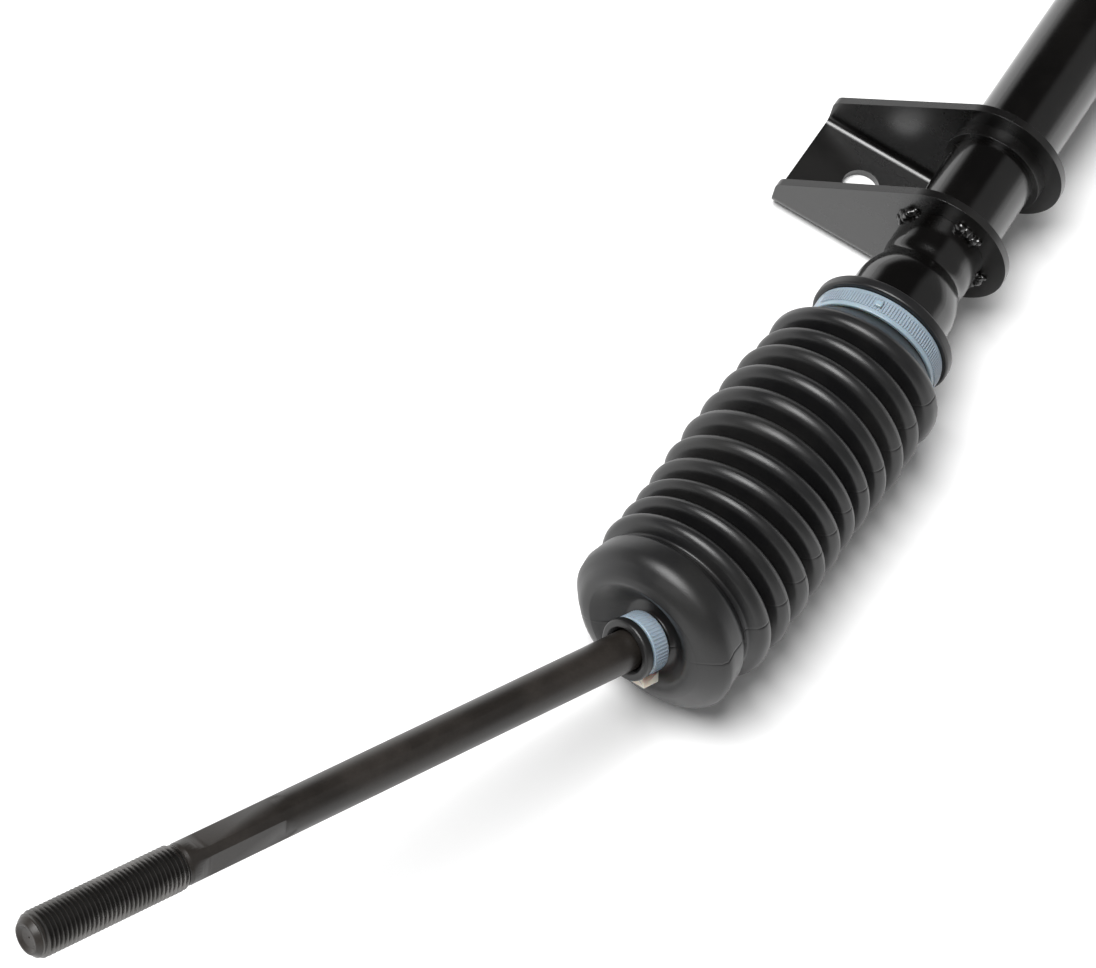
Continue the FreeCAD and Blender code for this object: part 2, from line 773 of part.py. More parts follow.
def make_washer(side):
    """Lock washer between the rack's end and the joint, with two tabs bent over its flats."""
    start = -joint_housing_back - washer_thickness
    ring = turned([(start, stud_radius), (start, rack_radius + 2.5, 0.3),
                   (start + washer_thickness, rack_radius + 2.5, 0.3),
                   (start + washer_thickness, stud_radius)], ball_centre(side), outward(side))
    return ring


def make_seat(side):
    """Nylon shell round the ball, open to the tie rod."""
    inner = ball_joint_radius + running_gap
    mouth = math.radians(mouth_angle)
    shell = Part.makeSphere(inner + seat_wall, Vector(), x_axis)
    shell = shell.cut(Part.makeSphere(inner, Vector(), x_axis))
    far = inner + seat_wall + 1
    opening = Part.makeCone(0, far * math.tan(mouth), far, Vector(), x_axis)
    return placed(shell.cut(opening).Solids[0], ball_centre(side), yawed_direction(side))


def make_tie_rod(side):
    """Forged rod: ball, neck, shank, four wrench flats and a threaded end."""
    ball = Part.makeSphere(ball_joint_radius, Vector(), x_axis)
    tip = rod_length
    thread_start = tip - thread_length
    shank = turned([
        (0, 0), (0, rod_neck_radius), (rod_neck_end, rod_neck_radius, 2.0),
        (rod_neck_end + 2.4, rod_radius, 2.0), (thread_start - 1.2, rod_radius, 0.8),
        (thread_start, rod_radius - 0.4, 0.3), (thread_start + 0.8, thread_radius, 0.3),
        (tip - thread_chamfer, thread_radius, 1.5), (tip, thread_radius - 2.0, 0.4),
        (tip - end_dimple_depth, 0)], Vector())
    body = ball.fuse(shank).cut(wrench_cuts(tip))
    return placed(body.removeSplitter().Solids[0], ball_centre(side), rod_direction(side))


def wrench_cuts(tip):
    """Four milled flats with the round run-outs of the cutter."""
    far = tip - flats_start - flats_length
    near = tip - flats_start
    depth = flats_across / 2
    lift = 3.0
    run_out = math.sqrt(cutter_radius ** 2 - (cutter_radius - lift) ** 2)
    cuts = []
    for side in range(4):
        start = Vector(far, 0, depth)
        end = Vector(near, 0, depth)
        bend = math.radians(15)
        arc_in = Part.Arc(Vector(far - run_out, 0, depth + lift),
                          Vector(far - cutter_radius * math.sin(bend), 0,
                                 depth + cutter_radius * (1 - math.cos(bend))), start).toShape()
        arc_out = Part.Arc(end, Vector(near + cutter_radius * math.sin(bend), 0,
                                       depth + cutter_radius * (1 - math.cos(bend))),
                           Vector(near + run_out, 0, depth + lift)).toShape()
        edges = [arc_in, Part.LineSegment(start, end).toShape(), arc_out,
                 Part.LineSegment(Vector(near + run_out, 0, depth + lift),
                                  Vector(far - run_out, 0, depth + lift)).toShape()]
        cut = Part.Face(Part.Wire(edges)).extrude(Vector(0, 20, 0))
        cut.translate(Vector(0, -10, 0))
        cut.rotate(Vector(), x_axis, flats_turn + side * 90)
        cuts.append(cut)
    return cuts


# Bellows: a chain of rings along a centre line that leans towards the tie rod at its neck

def neck_lean(side):
    """How far the neck's front stands off the rack's axis, and in which direction."""
    off_axis = rod_direction(side) - outward(side) * rod_direction(side).dot(outward(side))
    if off_axis.Length < 1e-6:
        return 0.0, z_axis
    return neck_front * off_axis.Length, off_axis.normalize()


def lean_share(along, neck_along):
    """Share of the neck's lean at a distance from the ball, positive towards the tie rod."""
    root = first_crest_offset
    if along <= root:
        return 0.0
    if along <= bend_offset:
        part = (along - root) / (bend_offset - root)
        return lean_at_bend * part * part * (3 - 2 * part)
    if along <= 0:
        return lean_at_dome + (lean_at_dome - lean_at_bend) * along / -bend_offset
    part = along / neck_along
    return lean_at_dome + (1 - lean_at_dome) * (0.13 * part + 0.87 * part * part)


def ring_at(side, along, radius):
    """Circle round the bellows' centre line, square to that line."""
    lean, sideways = neck_lean(side)
    neck_along = neck_front * rod_direction(side).dot(outward(side))
    step = 0.5
    here = lean * lean_share(along, neck_along)
    ahead = lean * lean_share(along + step, neck_along)
    behind = lean * lean_share(along - step, neck_along)
    tangent = (outward(side) * (2 * step) + sideways * (ahead - behind)).normalize()
    centre = ball_centre(side) + outward(side) * along + sideways * here
    return square_ring(side, centre, tangent, radius)


def rod_ring(side, along, radius, share=1.0):
    """Circle round the tie rod, turned from the rack's axis by a share of the rod's angle."""
    direction = rod_direction(side)
    tangent = (outward(side) * (1 - share) + direction * share).normalize()
    return square_ring(side, ball_centre(side) + direction * along, tangent, radius)


def square_ring(side, centre, tangent, radius):
    """Circle with its start point kept in line from ring to ring."""
    circle = Part.makeCircle(radius, Vector(), outward(side))
    circle.Placement = Placement(centre, Rotation(outward(side), tangent)).multiply(circle.Placement)
    return Part.Wire(circle)


def bellows_outline():
    """Rings of the outer skin as (along, radius), from the cuff to the dome."""
    seat_end = first_crest_offset - convolution_pitch / 2
    lip_end = seat_end - cuff_length - lip_thickness
    rings = [
        (lip_end, lip_radius - 1.2), (lip_end + 1.0, lip_radius),
        (lip_end + lip_thickness - 1.0, lip_radius), (lip_end + lip_thickness, lip_radius - 0.9),
        (lip_end + lip_thickness + 0.1, cuff_radius), (seat_end, cuff_radius),
    ]
    for index in range(convolutions):
        centre = first_crest_offset + index * convolution_pitch
        radius = first_crest_radius if index == 0 else crest_radius
        rings.append((centre - crest_width / 2, radius - 0.5))
        rings.append((centre, radius))
        rings.append((centre + crest_width / 2, radius - 0.5))
        rings.append((centre + convolution_pitch / 2, valley_radius))
    return rings


def dome_outline():
    """Rings of the rounded dome in front of the last valley."""
    top = crest_radius
    return [(dome_offset - 3.0, top - 1.2), (dome_offset, top), (dome_offset + 3.5, top - 0.5),
            (dome_offset + 7.0, top - 3.2), (dome_offset + 10.0, top - 7.6),
            (dome_offset + 11.5, top - 12.6)]


def make_bellows(side):
    neck_root = neck_front - neck_lip_width - small_tie_width - 0.6
    bore = rod_radius + neck_gap
    outer = [ring_at(side, along, radius) for along, radius in bellows_outline() + dome_outline()]
    inner = []
    for along, radius in bellows_outline()[6:] + dome_outline():
        thinner = bellows_wall if along < dome_offset + 5 else 0.8 * bellows_wall
        back = 0.0 if along < dome_offset else 0.9 * bellows_wall
        inner.append(ring_at(side, along - back, radius - thinner))
    seat_end = first_crest_offset - convolution_pitch / 2
    lip_end = seat_end - cuff_length - lip_thickness
    neck = [
        rod_ring(side, neck_root - 1.1, neck_groove_radius + 3.0, 0.8),
        rod_ring(side, neck_root, neck_groove_radius + 0.3, 0.95),
        rod_ring(side, neck_root + 0.2, neck_groove_radius),
        rod_ring(side, neck_front - neck_lip_width, neck_groove_radius),
        rod_ring(side, neck_front - neck_lip_width + 0.3, neck_lip_radius),
        rod_ring(side, neck_front, neck_lip_radius),
        rod_ring(side, neck_front, bore + 1.0),
        rod_ring(side, neck_front - 1.2, bore),
        rod_ring(side, neck_root + 0.7, bore),
        rod_ring(side, neck_root - 1.1, bore + 0.5, 0.9),
        rod_ring(side, neck_root - 2.4, bore + 3.3, 0.8),
    ]
    cuff = [ring_at(side, seat_end, flare_radius), ring_at(side, lip_end, flare_radius)]
    rings = outer + neck + list(reversed(inner)) + cuff
    rings.append(rings[0])
    faces = []
    for first, second in zip(rings, rings[1:]):
        faces += Part.makeRuledSurface(first.Edges[0], second.Edges[0]).Faces
    shell = Part.makeShell(faces)
    shell.sewShape()
    solid = Part.makeSolid(Part.Shell(shell.Faces))
    return solid if solid.Volume > 0 else solid.reversed()


# Nylon ties

def make_tie(origin, direction, radius, width, turn):
    """Flat band with its square locking head on the outside."""
    half = width / 2
    band = turned([(-half, radius, 0.2), (half, radius, 0.2), (half, radius + tie_thickness, 0.4),
                   (-half, radius + tie_thickness, 0.4)], Vector())
    head = Part.makeBox(width, tie_head_length, tie_head_height,
                        Vector(-half, -tie_head_length / 2, radius + 0.4))
    edges = [edge for edge in head.Edges if edge.CenterOfMass.z > radius + tie_head_height]
    head = head.makeFillet(0.8, edges)
    head = head.cut(rod(Vector(-width, 0, 0), x_axis, 2 * width, radius + 0.2))
    head.rotate(Vector(), x_axis, turn)
    return placed(band.fuse(head).removeSplitter().Solids[0], origin, direction)


def make_large_tie(side):
    middle = first_crest_offset - convolution_pitch / 2 - cuff_length / 2
    origin = ball_centre(side) + outward(side) * middle
    return make_tie(origin, outward(side), cuff_radius, large_tie_width, large_tie_turn)


def make_small_tie(side):
    middle = neck_front - neck_lip_width - small_tie_width / 2 - 0.1
    origin = ball_centre(side) + rod_direction(side) * middle
    radius = neck_groove_radius + tie_gap
    return make_tie(origin, rod_direction(side), radius, small_tie_width, small_tie_turn)


save("rack_tube", make_tube())
save("rack_bush", make_bush())
save("mounting_bracket", make_bracket())
save("bracket_welds", make_welds())
save("pinion_housing", make_pinion_housing())
save("rack_bar", make_rack_bar())
save("pinion_shaft", make_pinion_shaft())
outer_ring, inner_ring, bearing_balls, bearing_cage = bearing_parts()
save("bearing_outer_ring", outer_ring)
save("bearing_inner_ring", inner_ring)
save("bearing_balls", bearing_balls)
save("bearing_cage", bearing_cage)
save("snap_ring", make_snap_ring())
save("ring_nut", make_ring_nut())
save("pinion_seal", make_seal())
save("dust_cap", make_dust_cap())
save("lower_bush", make_lower_bush())
save("bottom_plug", make_bottom_plug())
guide, guide_ring = make_guide()
save("rack_guide", guide)
save("guide_o_ring", guide_ring)
save("guide_spring", make_spring())
save("guide_adjuster", make_adjuster())
save("adjuster_locknut", make_locknut())
for side_name in ("near", "far"):
    save(side_name + "_joint_housing", make_joint_housing(side_name))
    save(side_name + "_lock_washer", make_washer(side_name))
    save(side_name + "_ball_seat", make_seat(side_name))
    save(side_name + "_tie_rod", make_tie_rod(side_name))
    save(side_name + "_bellows", make_bellows(side_name))
    save(side_name + "_large_tie", make_large_tie(side_name))
    save(side_name + "_small_tie", make_small_tie(side_name))
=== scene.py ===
# Looks of a manual rack and pinion steering gear, in metres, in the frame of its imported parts.
# The file follows the gear as it is put together, from its view and light to its nylon ties.

import math

import bmesh
import bpy
from mathutils import Matrix, Vector


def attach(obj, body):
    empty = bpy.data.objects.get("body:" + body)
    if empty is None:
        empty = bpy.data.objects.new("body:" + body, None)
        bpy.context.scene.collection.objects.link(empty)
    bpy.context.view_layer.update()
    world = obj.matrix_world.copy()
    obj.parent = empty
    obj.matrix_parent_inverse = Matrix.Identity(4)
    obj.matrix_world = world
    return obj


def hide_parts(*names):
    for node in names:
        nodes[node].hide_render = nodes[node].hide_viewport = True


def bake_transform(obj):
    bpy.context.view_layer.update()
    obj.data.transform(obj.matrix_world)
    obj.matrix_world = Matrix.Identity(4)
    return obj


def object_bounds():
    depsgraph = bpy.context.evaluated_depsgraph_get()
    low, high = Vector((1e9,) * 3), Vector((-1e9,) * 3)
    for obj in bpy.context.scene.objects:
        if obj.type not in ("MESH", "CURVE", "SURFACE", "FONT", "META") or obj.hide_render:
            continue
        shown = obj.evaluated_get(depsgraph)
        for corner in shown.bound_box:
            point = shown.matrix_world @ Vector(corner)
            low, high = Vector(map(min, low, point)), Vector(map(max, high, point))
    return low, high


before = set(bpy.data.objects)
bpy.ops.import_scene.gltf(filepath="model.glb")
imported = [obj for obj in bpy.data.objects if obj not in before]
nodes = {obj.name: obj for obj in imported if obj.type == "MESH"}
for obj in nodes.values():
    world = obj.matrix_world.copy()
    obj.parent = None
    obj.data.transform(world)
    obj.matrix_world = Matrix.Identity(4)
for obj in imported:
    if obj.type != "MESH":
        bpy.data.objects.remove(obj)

cad_low, cad_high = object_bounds()
scene = bpy.context.scene
mm = 0.001

# View, floor and light. The gear lies on white paper, seen from above its near tie rod, with one
# wide soft lamp high on the bracket's side, so that its shadow falls towards +Y. Its gloss mirrors
# a dark room with a bright horizon and a pale wall on the +Y side.

focal_pixels = 4000.0
image_width = 1096.0
camera_place = (0.770738, 0.162822, 1.122176)
camera_turn = (28.766, -7.759, 121.188)
floor_half = 30.0
floor_gap = 0.1
paper_grey = 0.93
paper_lift = 0.04
studio_fill = 0.16
key_direction = (0.20, -0.28, 0.94)
key_strength = 4.4
key_spread = 40.0

camera_data = bpy.data.cameras.new("camera")
camera_data.sensor_width = 36.0
camera_data.lens = camera_data.sensor_width * focal_pixels / image_width
camera = bpy.data.objects.new("camera", camera_data)
camera.location = camera_place
camera.rotation_euler = [math.radians(angle) for angle in camera_turn]
scene.collection.objects.link(camera)
scene.camera = camera
scene.view_settings.view_transform = "Standard"


def add(tree, kind, inputs=None, **settings):
    """New node in a tree, its properties set and its inputs linked or filled."""
    made = tree.nodes.new(kind)
    for key, value in settings.items():
        setattr(made, key, value)
    for key, value in (inputs or {}).items():
        if isinstance(value, bpy.types.NodeSocket):
            tree.links.new(value, made.inputs[key])
        else:
            made.inputs[key].default_value = value
    return made


def reckon(tree, operation, *values):
    """Math node on up to three values, as its output."""
    made = add(tree, "ShaderNodeMath", dict(enumerate(values)), operation=operation)
    return made.outputs[0]


def straight_rays(tree):
    """Socket that is 1 for rays that come from the eye, a gloss or a clear part, and else 0."""
    rays = add(tree, "ShaderNodeLightPath").outputs
    mirrored = reckon(tree, "MAXIMUM", rays["Is Camera Ray"], rays["Is Glossy Ray"])
    return reckon(tree, "MAXIMUM", mirrored, rays["Is Transmission Ray"])


def show(name, mesh, body, slot, *replaced):
    """Object of a finished mesh that rides on a body and stands for CAD nodes."""
    piece = bpy.data.objects.new(name, mesh)
    scene.collection.objects.link(piece)
    if body:
        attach(piece, body)
    if replaced:
        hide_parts(*replaced)
    return piece


floor_mesh = bpy.data.meshes.new("floor")
floor_mesh.from_pydata([(-floor_half, -floor_half, 0), (floor_half, -floor_half, 0),
                        (floor_half, floor_half, 0), (-floor_half, floor_half, 0)],
                       [], [(0, 1, 2, 3)])
floor_mesh.transform(Matrix.Translation((0, 0, cad_low.z - floor_gap * mm)))
floor = bpy.data.objects.new("floor", floor_mesh)
scene.collection.objects.link(floor)

paper = bpy.data.materials.new("paper")
paper.use_nodes = True
tree = paper.node_tree
tree.nodes.remove(tree.nodes["Principled BSDF"])
matt = add(tree, "ShaderNodeBsdfDiffuse", {"Color": (paper_grey, paper_grey, paper_grey, 1)})
lift = reckon(tree, "MULTIPLY", straight_rays(tree), paper_lift)
glow = add(tree, "ShaderNodeEmission", {"Strength": lift})
both = add(tree, "ShaderNodeAddShader", {0: matt.outputs[0], 1: glow.outputs[0]})
tree.links.new(both.outputs[0], tree.nodes["Material Output"].inputs["Surface"])
floor_mesh.materials.append(paper)

world = bpy.data.worlds.new("studio")
scene.world = world
world.use_nodes = True
tree = world.node_tree
sky = tree.nodes["Background"]
place = add(tree, "ShaderNodeTexCoord")
heading = add(tree, "ShaderNodeSeparateXYZ", {0: place.outputs["Generated"]})
horizon = add(tree, "ShaderNodeMapRange", {
    "Value": heading.outputs["Z"], "From Min": 0.08, "From Max": 0.34, "To Min": 1.0,
    "To Max": 0.045}, interpolation_type="SMOOTHSTEP")
side_wall = add(tree, "ShaderNodeMapRange", {
    "Value": heading.outputs["Y"], "From Min": 0.02, "From Max": 0.3, "To Min": 0.0,
    "To Max": 0.3}, interpolation_type="SMOOTHSTEP")
rise = reckon(tree, "MAXIMUM", horizon.outputs["Result"], side_wall.outputs["Result"])
fill = add(tree, "ShaderNodeMix", {"Factor": straight_rays(tree), "A": studio_fill, "B": rise})
tree.links.new(fill.outputs["Result"], sky.inputs["Strength"])
sky.inputs["Color"].default_value = (1, 1, 1, 1)

lamp_data = bpy.data.lights.new("key", "SUN")
lamp_data.energy = key_strength
lamp_data.angle = math.radians(key_spread)
lamp = bpy.data.objects.new("key", lamp_data)
lamp.rotation_euler = Vector(key_direction).to_track_quat("Z", "Y").to_euler()
scene.collection.objects.link(lamp)

# Housing tube: drawn steel tube, dipped in gloss black paint, with a rolled groove and a flared
# end that the bellows' cuff sits on. It is turned here from its outline, for clean reflections.

rack_y = 37.5
rack_z = 30.2
axis_origin = Vector((0, rack_y * mm, rack_z * mm))
tube_radius = 15.25
tube_wall = 2.25
tube_far_end = -228.0
tube_near_end = 74.0
tube_segments = 160
shoulder_rounding = 14.0
groove_x = 39.0
groove_radius = 14.5
groove_rounding = 5.0
groove_lead = 4.0
flare_radius = 18.0
flare_rounding = 22.0
flare_lead = 8.0


def rounded(points, steps=6):
    """Closed outline of (along, radius, rounding) corners as points, with its corners rounded."""
    outline = []
    for index, point in enumerate(points):
        corner = Vector(point[:2])
        rounding = point[2] if len(point) > 2 else 0.0
        if rounding == 0:
            outline.append(corner)
            continue
        before = (Vector(points[index - 1][:2]) - corner).normalized()
        after = (Vector(points[(index + 1) % len(points)][:2]) - corner).normalized()
        half = before.angle(after) / 2
        centre = corner + (before + after).normalized() * rounding / math.sin(half)
        first = corner + before * rounding / math.tan(half) - centre
        last = corner + after * rounding / math.tan(half) - centre
        sweep = first.angle_signed(last)
        for step in range(steps + 1):
            turn = Matrix.Rotation(-sweep * step / steps, 2)
            outline.append(centre + turn @ first)
    return outline


def smooth_mesh(name, work, material, crease=180):
    """Smooth mesh of worked faces; edges that turn by more than crease degrees stay sharp."""
    mesh = bpy.data.meshes.new(name)
    work.to_mesh(mesh)
    work.free()
    mesh.shade_smooth()
    mesh.set_sharp_from_angle(angle=math.radians(crease))
    mesh.materials.append(material)
    return mesh


def mesh_of(name, points, faces, material, crease=35):
    """Smooth mesh of points and faces, closed and with its normals outward."""
    loose = bpy.data.meshes.new("loose")
    loose.from_pydata(points, [], faces)
    work = bmesh.new()
    work.from_mesh(loose)
    bpy.data.meshes.remove(loose)
    bmesh.ops.remove_doubles(work, verts=work.verts, dist=1e-7)
    bmesh.ops.dissolve_degenerate(work, edges=work.edges, dist=1e-7)
    bmesh.ops.recalc_face_normals(work, faces=work.faces)
    return smooth_mesh(name, work, material, crease)


def turned(outline, origin, direction, segments):
    """Points and faces of a closed outline in millimetres, turned round an axis."""
    spin = Vector((1, 0, 0)).rotation_difference(Vector(direction))
    points = []
    for along, radius in outline:
        for segment in range(segments):
            angle = math.tau * segment / segments
            arm = Vector((along, radius * math.cos(angle), radius * math.sin(angle))) * mm
            points.append(Vector(origin) + spin @ arm)
    return points, ring_faces(len(outline), segments)


def ring_faces(rings, segments):
    """Quads between neighbouring rings of points, the last ring joined to the first."""
    faces = []
    for ring in range(rings):
        here = ring * segments
        ahead = (ring + 1) % rings * segments
        for segment in range(segments):
            after = (segment + 1) % segments
            faces.append((here + segment, here + after, ahead + after, ahead + segment))
    return faces


def make_surface_group():
    """Patches of a second colour and roughness, and fine grain, that every finish uses."""
    group = bpy.data.node_groups.new("surface", "ShaderNodeTree")
    inputs = (("Colour", "NodeSocketColor", (0.5, 0.5, 0.5, 1)),
              ("Patch Colour", "NodeSocketColor", (0.5, 0.5, 0.5, 1)),
              ("Patch Scale", "NodeSocketFloat", 20.0), ("Grain Scale", "NodeSocketFloat", 400.0),
              ("Roughness", "NodeSocketFloat", 0.4), ("Patch Roughness", "NodeSocketFloat", 0.5),
              ("Speckle", "NodeSocketFloat", 0.1))
    for name, kind, value in inputs:
        group.interface.new_socket(name, in_out="INPUT", socket_type=kind).default_value = value
    for name, kind in (("Colour", "NodeSocketColor"), ("Roughness", "NodeSocketFloat"),
                       ("Height", "NodeSocketFloat")):
        group.interface.new_socket(name, in_out="OUTPUT", socket_type=kind)
    given = add(group, "NodeGroupInput")
    place = add(group, "ShaderNodeTexCoord")
    patches = add(group, "ShaderNodeTexNoise", {
        "Vector": place.outputs["Object"], "Scale": given.outputs["Patch Scale"],
        "Detail": 5.0, "Roughness": 0.6})
    share = add(group, "ShaderNodeMapRange", {"Value": patches.outputs[0], "From Min": 0.38,
                                              "From Max": 0.66}, interpolation_type="SMOOTHSTEP")
    grain = add(group, "ShaderNodeTexNoise", {
        "Vector": place.outputs["Object"], "Scale": given.outputs["Grain Scale"],
        "Detail": 3.0, "Roughness": 0.55})
    colour = add(group, "ShaderNodeMix", {
        "Factor": share.outputs["Result"], 6: given.outputs["Colour"],
        7: given.outputs["Patch Colour"]}, data_type="RGBA")
    off = reckon(group, "SUBTRACT", grain.outputs[0], 0.5)
    off = reckon(group, "MULTIPLY_ADD", off, given.outputs["Speckle"], 1.0)
    tinted = add(group, "ShaderNodeVectorMath", {0: colour.outputs[2], "Scale": off},
                 operation="SCALE")
    rough = add(group, "ShaderNodeMix", {
        "Factor": share.outputs["Result"], 2: given.outputs["Roughness"],
        3: given.outputs["Patch Roughness"]})
    add(group, "NodeGroupOutput", {"Colour": tinted.outputs[0], "Roughness": rough.outputs[0],
                                   "Height": grain.outputs[0]})
    return group


surface_group = make_surface_group()


def finish(name, colour, patch_colour, roughness, patch_scale, grain_scale, grain_depth,
           speckle, plain=None):
    """Material with patches, which have the second colour and roughness, and with grain that is
    grain_depth millimetres deep; plain holds the shader's own even values."""
    material = bpy.data.materials.new(name)
    material.use_nodes = True
    tree = material.node_tree
    shader = tree.nodes["Principled BSDF"]
    surface = add(tree, "ShaderNodeGroup", node_tree=surface_group)
    values = {"Colour": (*colour, 1), "Patch Colour": (*patch_colour, 1),
              "Patch Scale": patch_scale, "Grain Scale": grain_scale, "Roughness": roughness[0],
              "Patch Roughness": roughness[1], "Speckle": speckle}
    for key, value in values.items():
        surface.inputs[key].default_value = value
    bump = add(tree, "ShaderNodeBump", {"Height": surface.outputs["Height"],
                                        "Distance": grain_depth * mm, "Strength": 1.0})
    tree.links.new(surface.outputs["Colour"], shader.inputs["Base Color"])
    tree.links.new(surface.outputs["Roughness"], shader.inputs["Roughness"])
    tree.links.new(bump.outputs[0], shader.inputs["Normal"])
    for key, value in (plain or {}).items():
        shader.inputs[key].default_value = value
    return material


def gloss_paint(name, roughness):
    """Black paint that has run smooth, at one of its degrees of gloss."""
    return finish(name, (0.0012, 0.0010, 0.0009), (0.0026, 0.0022, 0.0019), roughness,
                  patch_scale=25, grain_scale=330, grain_depth=0.015, speckle=0.2,
                  plain={"IOR": 1.7})


black_paint = gloss_paint("black_paint", (0.15, 0.21))


def tube_skin(offset):
    """Corners along the tube's wall from its far end to its flared end."""
    return [(tube_far_end, tube_radius - offset, 0.3),
            (groove_x - groove_lead, tube_radius - offset, shoulder_rounding),
            (groove_x, groove_radius - offset, groove_rounding),
            (groove_x + flare_lead, flare_radius - offset, flare_rounding),
            (tube_near_end, flare_radius - offset, 0.5)]


tube_outline = rounded(tube_skin(0.0) + list(reversed(tube_skin(tube_wall))), steps=10)
tube_form = turned(tube_outline, axis_origin, (1, 0, 0), tube_segments)
show("housing_tube", mesh_of("housing_tube", *tube_form, black_paint), "housing",
     "painted_steel", "rack_tube")

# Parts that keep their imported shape: each gets smooth shading that stops at its edges, and the
# finish of its real metal or plastic.

weld_distance = 0.002
part_crease = 32.0


def geometry_group(name, inputs):
    """Geometry tree with named inputs and one output, and its group input node."""
    group = bpy.data.node_groups.new(name, "GeometryNodeTree")
    for title, kind in inputs:
        group.interface.new_socket(title, in_out="INPUT", socket_type="NodeSocket" + kind)
    group.interface.new_socket("Geometry", in_out="OUTPUT", socket_type="NodeSocketGeometry")
    return group, add(group, "NodeGroupInput")


def set_inputs(modifier, values):
    """Fills the named inputs of a geometry modifier, each by its socket's identifier."""
    for item in modifier.node_group.interface.items_tree:
        if item.in_out == "INPUT" and item.name in values:
            modifier[item.identifier] = values[item.name]


def make_shading_group():
    """Joins loose triangles, keeps the edges sharper than an angle, and sets the material."""
    group, given = geometry_group("part_shading", (
        ("Geometry", "Geometry"), ("Angle", "Float"), ("Material", "Material")))
    joined = add(group, "GeometryNodeMergeByDistance", {
        "Geometry": given.outputs[0], "Distance": weld_distance * mm})
    faces = add(group, "GeometryNodeSetShadeSmooth", {
        "Geometry": joined.outputs[0], "Shade Smooth": True})
    angle = add(group, "GeometryNodeInputMeshEdgeAngle")
    gentle = add(group, "FunctionNodeCompare", {0: angle.outputs[0], 1: given.outputs["Angle"]},
                 data_type="FLOAT", operation="LESS_THAN")
    edges = add(group, "GeometryNodeSetShadeSmooth", {
        "Geometry": faces.outputs[0], "Shade Smooth": gentle.outputs[0]}, domain="EDGE")
    real = add(group, "GeometryNodeRealizeInstances", {0: edges.outputs[0]})
    covered = add(group, "GeometryNodeSetMaterial", {
        "Geometry": real.outputs[0], "Material": given.outputs["Material"]})
    add(group, "NodeGroupOutput", {0: covered.outputs[0]})
    return group


shading_group = make_shading_group()


def keep_flats(piece):
    """Weighs a piece's normals by its larger faces, so that its flats shade flat to their rims."""
    flats = piece.modifiers.new("flats", "WEIGHTED_NORMAL")
    flats.keep_sharp = True


def dress(names, material):
    """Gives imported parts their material, and shading by angle."""
    for name in names:
        part = nodes[name]
        part.data.materials.clear()
        part.data.materials.append(material)
        shading = part.modifiers.new("shading", "NODES")
        shading.node_group = shading_group
        set_inputs(shading, {"Angle": math.radians(part_crease), "Material": material})
        keep_flats(part)


cast_metal = finish("cast_metal", (0.40, 0.405, 0.41), (0.31, 0.315, 0.32),
                    roughness=(0.46, 0.56), patch_scale=30, grain_scale=900,
                    grain_depth=0.12, speckle=0.25, plain={"Metallic": 0.9})
ground_steel = finish("ground_steel", (0.52, 0.52, 0.53), (0.44, 0.44, 0.45),
                      roughness=(0.2, 0.28), patch_scale=60, grain_scale=1800,
                      grain_depth=0.004, speckle=0.1, plain={"Metallic": 1.0})
bearing_steel = finish("bearing_steel", (0.62, 0.62, 0.64), (0.56, 0.56, 0.58),
                       roughness=(0.12, 0.2), patch_scale=90, grain_scale=2500,
                       grain_depth=0.002, speckle=0.06, plain={"Metallic": 1.0})
brass = finish("cage_brass", (0.62, 0.43, 0.16), (0.5, 0.33, 0.12),
               roughness=(0.28, 0.38), patch_scale=120, grain_scale=2200,
               grain_depth=0.004, speckle=0.12, plain={"Metallic": 1.0})
plated_steel = finish("plated_steel", (0.56, 0.55, 0.48), (0.46, 0.46, 0.42),
                      roughness=(0.28, 0.42), patch_scale=70, grain_scale=1500,
                      grain_depth=0.006, speckle=0.18, plain={"Metallic": 1.0})
black_steel = finish("black_steel", (0.015, 0.0128, 0.011), (0.025, 0.021, 0.018),
                     roughness=(0.3, 0.4), patch_scale=45, grain_scale=1300,
                     grain_depth=0.012, speckle=0.6, plain={"IOR": 1.45})
rubber = finish("rubber", (0.007, 0.007, 0.0075), (0.011, 0.0107, 0.0105),
                roughness=(0.35, 0.43), patch_scale=32, grain_scale=1500,
                grain_depth=0.014, speckle=0.35)
# White nylon of the bushes and ball seats, also put on the ties' heads as a painted highlight.
white_nylon_and_lit_head = finish("white_nylon_and_lit_head", (0.72, 0.69, 0.6), (0.66, 0.63, 0.54),
                     roughness=(0.38, 0.46), patch_scale=60, grain_scale=1200,
                     grain_depth=0.01, speckle=0.1, plain={"Subsurface Weight": 0.2})
sintered = finish("sintered", (0.5, 0.5, 0.5), (0.42, 0.42, 0.43),
                  roughness=(0.5, 0.6), patch_scale=80, grain_scale=2400,
                  grain_depth=0.02, speckle=0.3, plain={"Metallic": 0.9})

dress(["pinion_housing"], cast_metal)
dress(["rack_bar", "pinion_shaft"], ground_steel)
dress(["bearing_outer_ring", "bearing_inner_ring", "bearing_balls"], bearing_steel)
dress(["bearing_cage"], brass)
dress(["snap_ring", "near_joint_housing", "far_joint_housing", "near_lock_washer",
       "far_lock_washer"], black_steel)
dress(["ring_nut", "bottom_plug", "guide_adjuster", "adjuster_locknut", "guide_spring"],
      plated_steel)
dress(["pinion_seal", "dust_cap", "guide_o_ring"], rubber)
dress(["rack_bush", "lower_bush", "near_ball_seat", "far_ball_seat"], white_nylon_and_lit_head)
dress(["rack_guide"], sintered)

# Bracket: one U of steel plate, folded, tack-welded to the tube and painted with it. The paint
# rounds its cut edges, and each tack is a short rough bead.

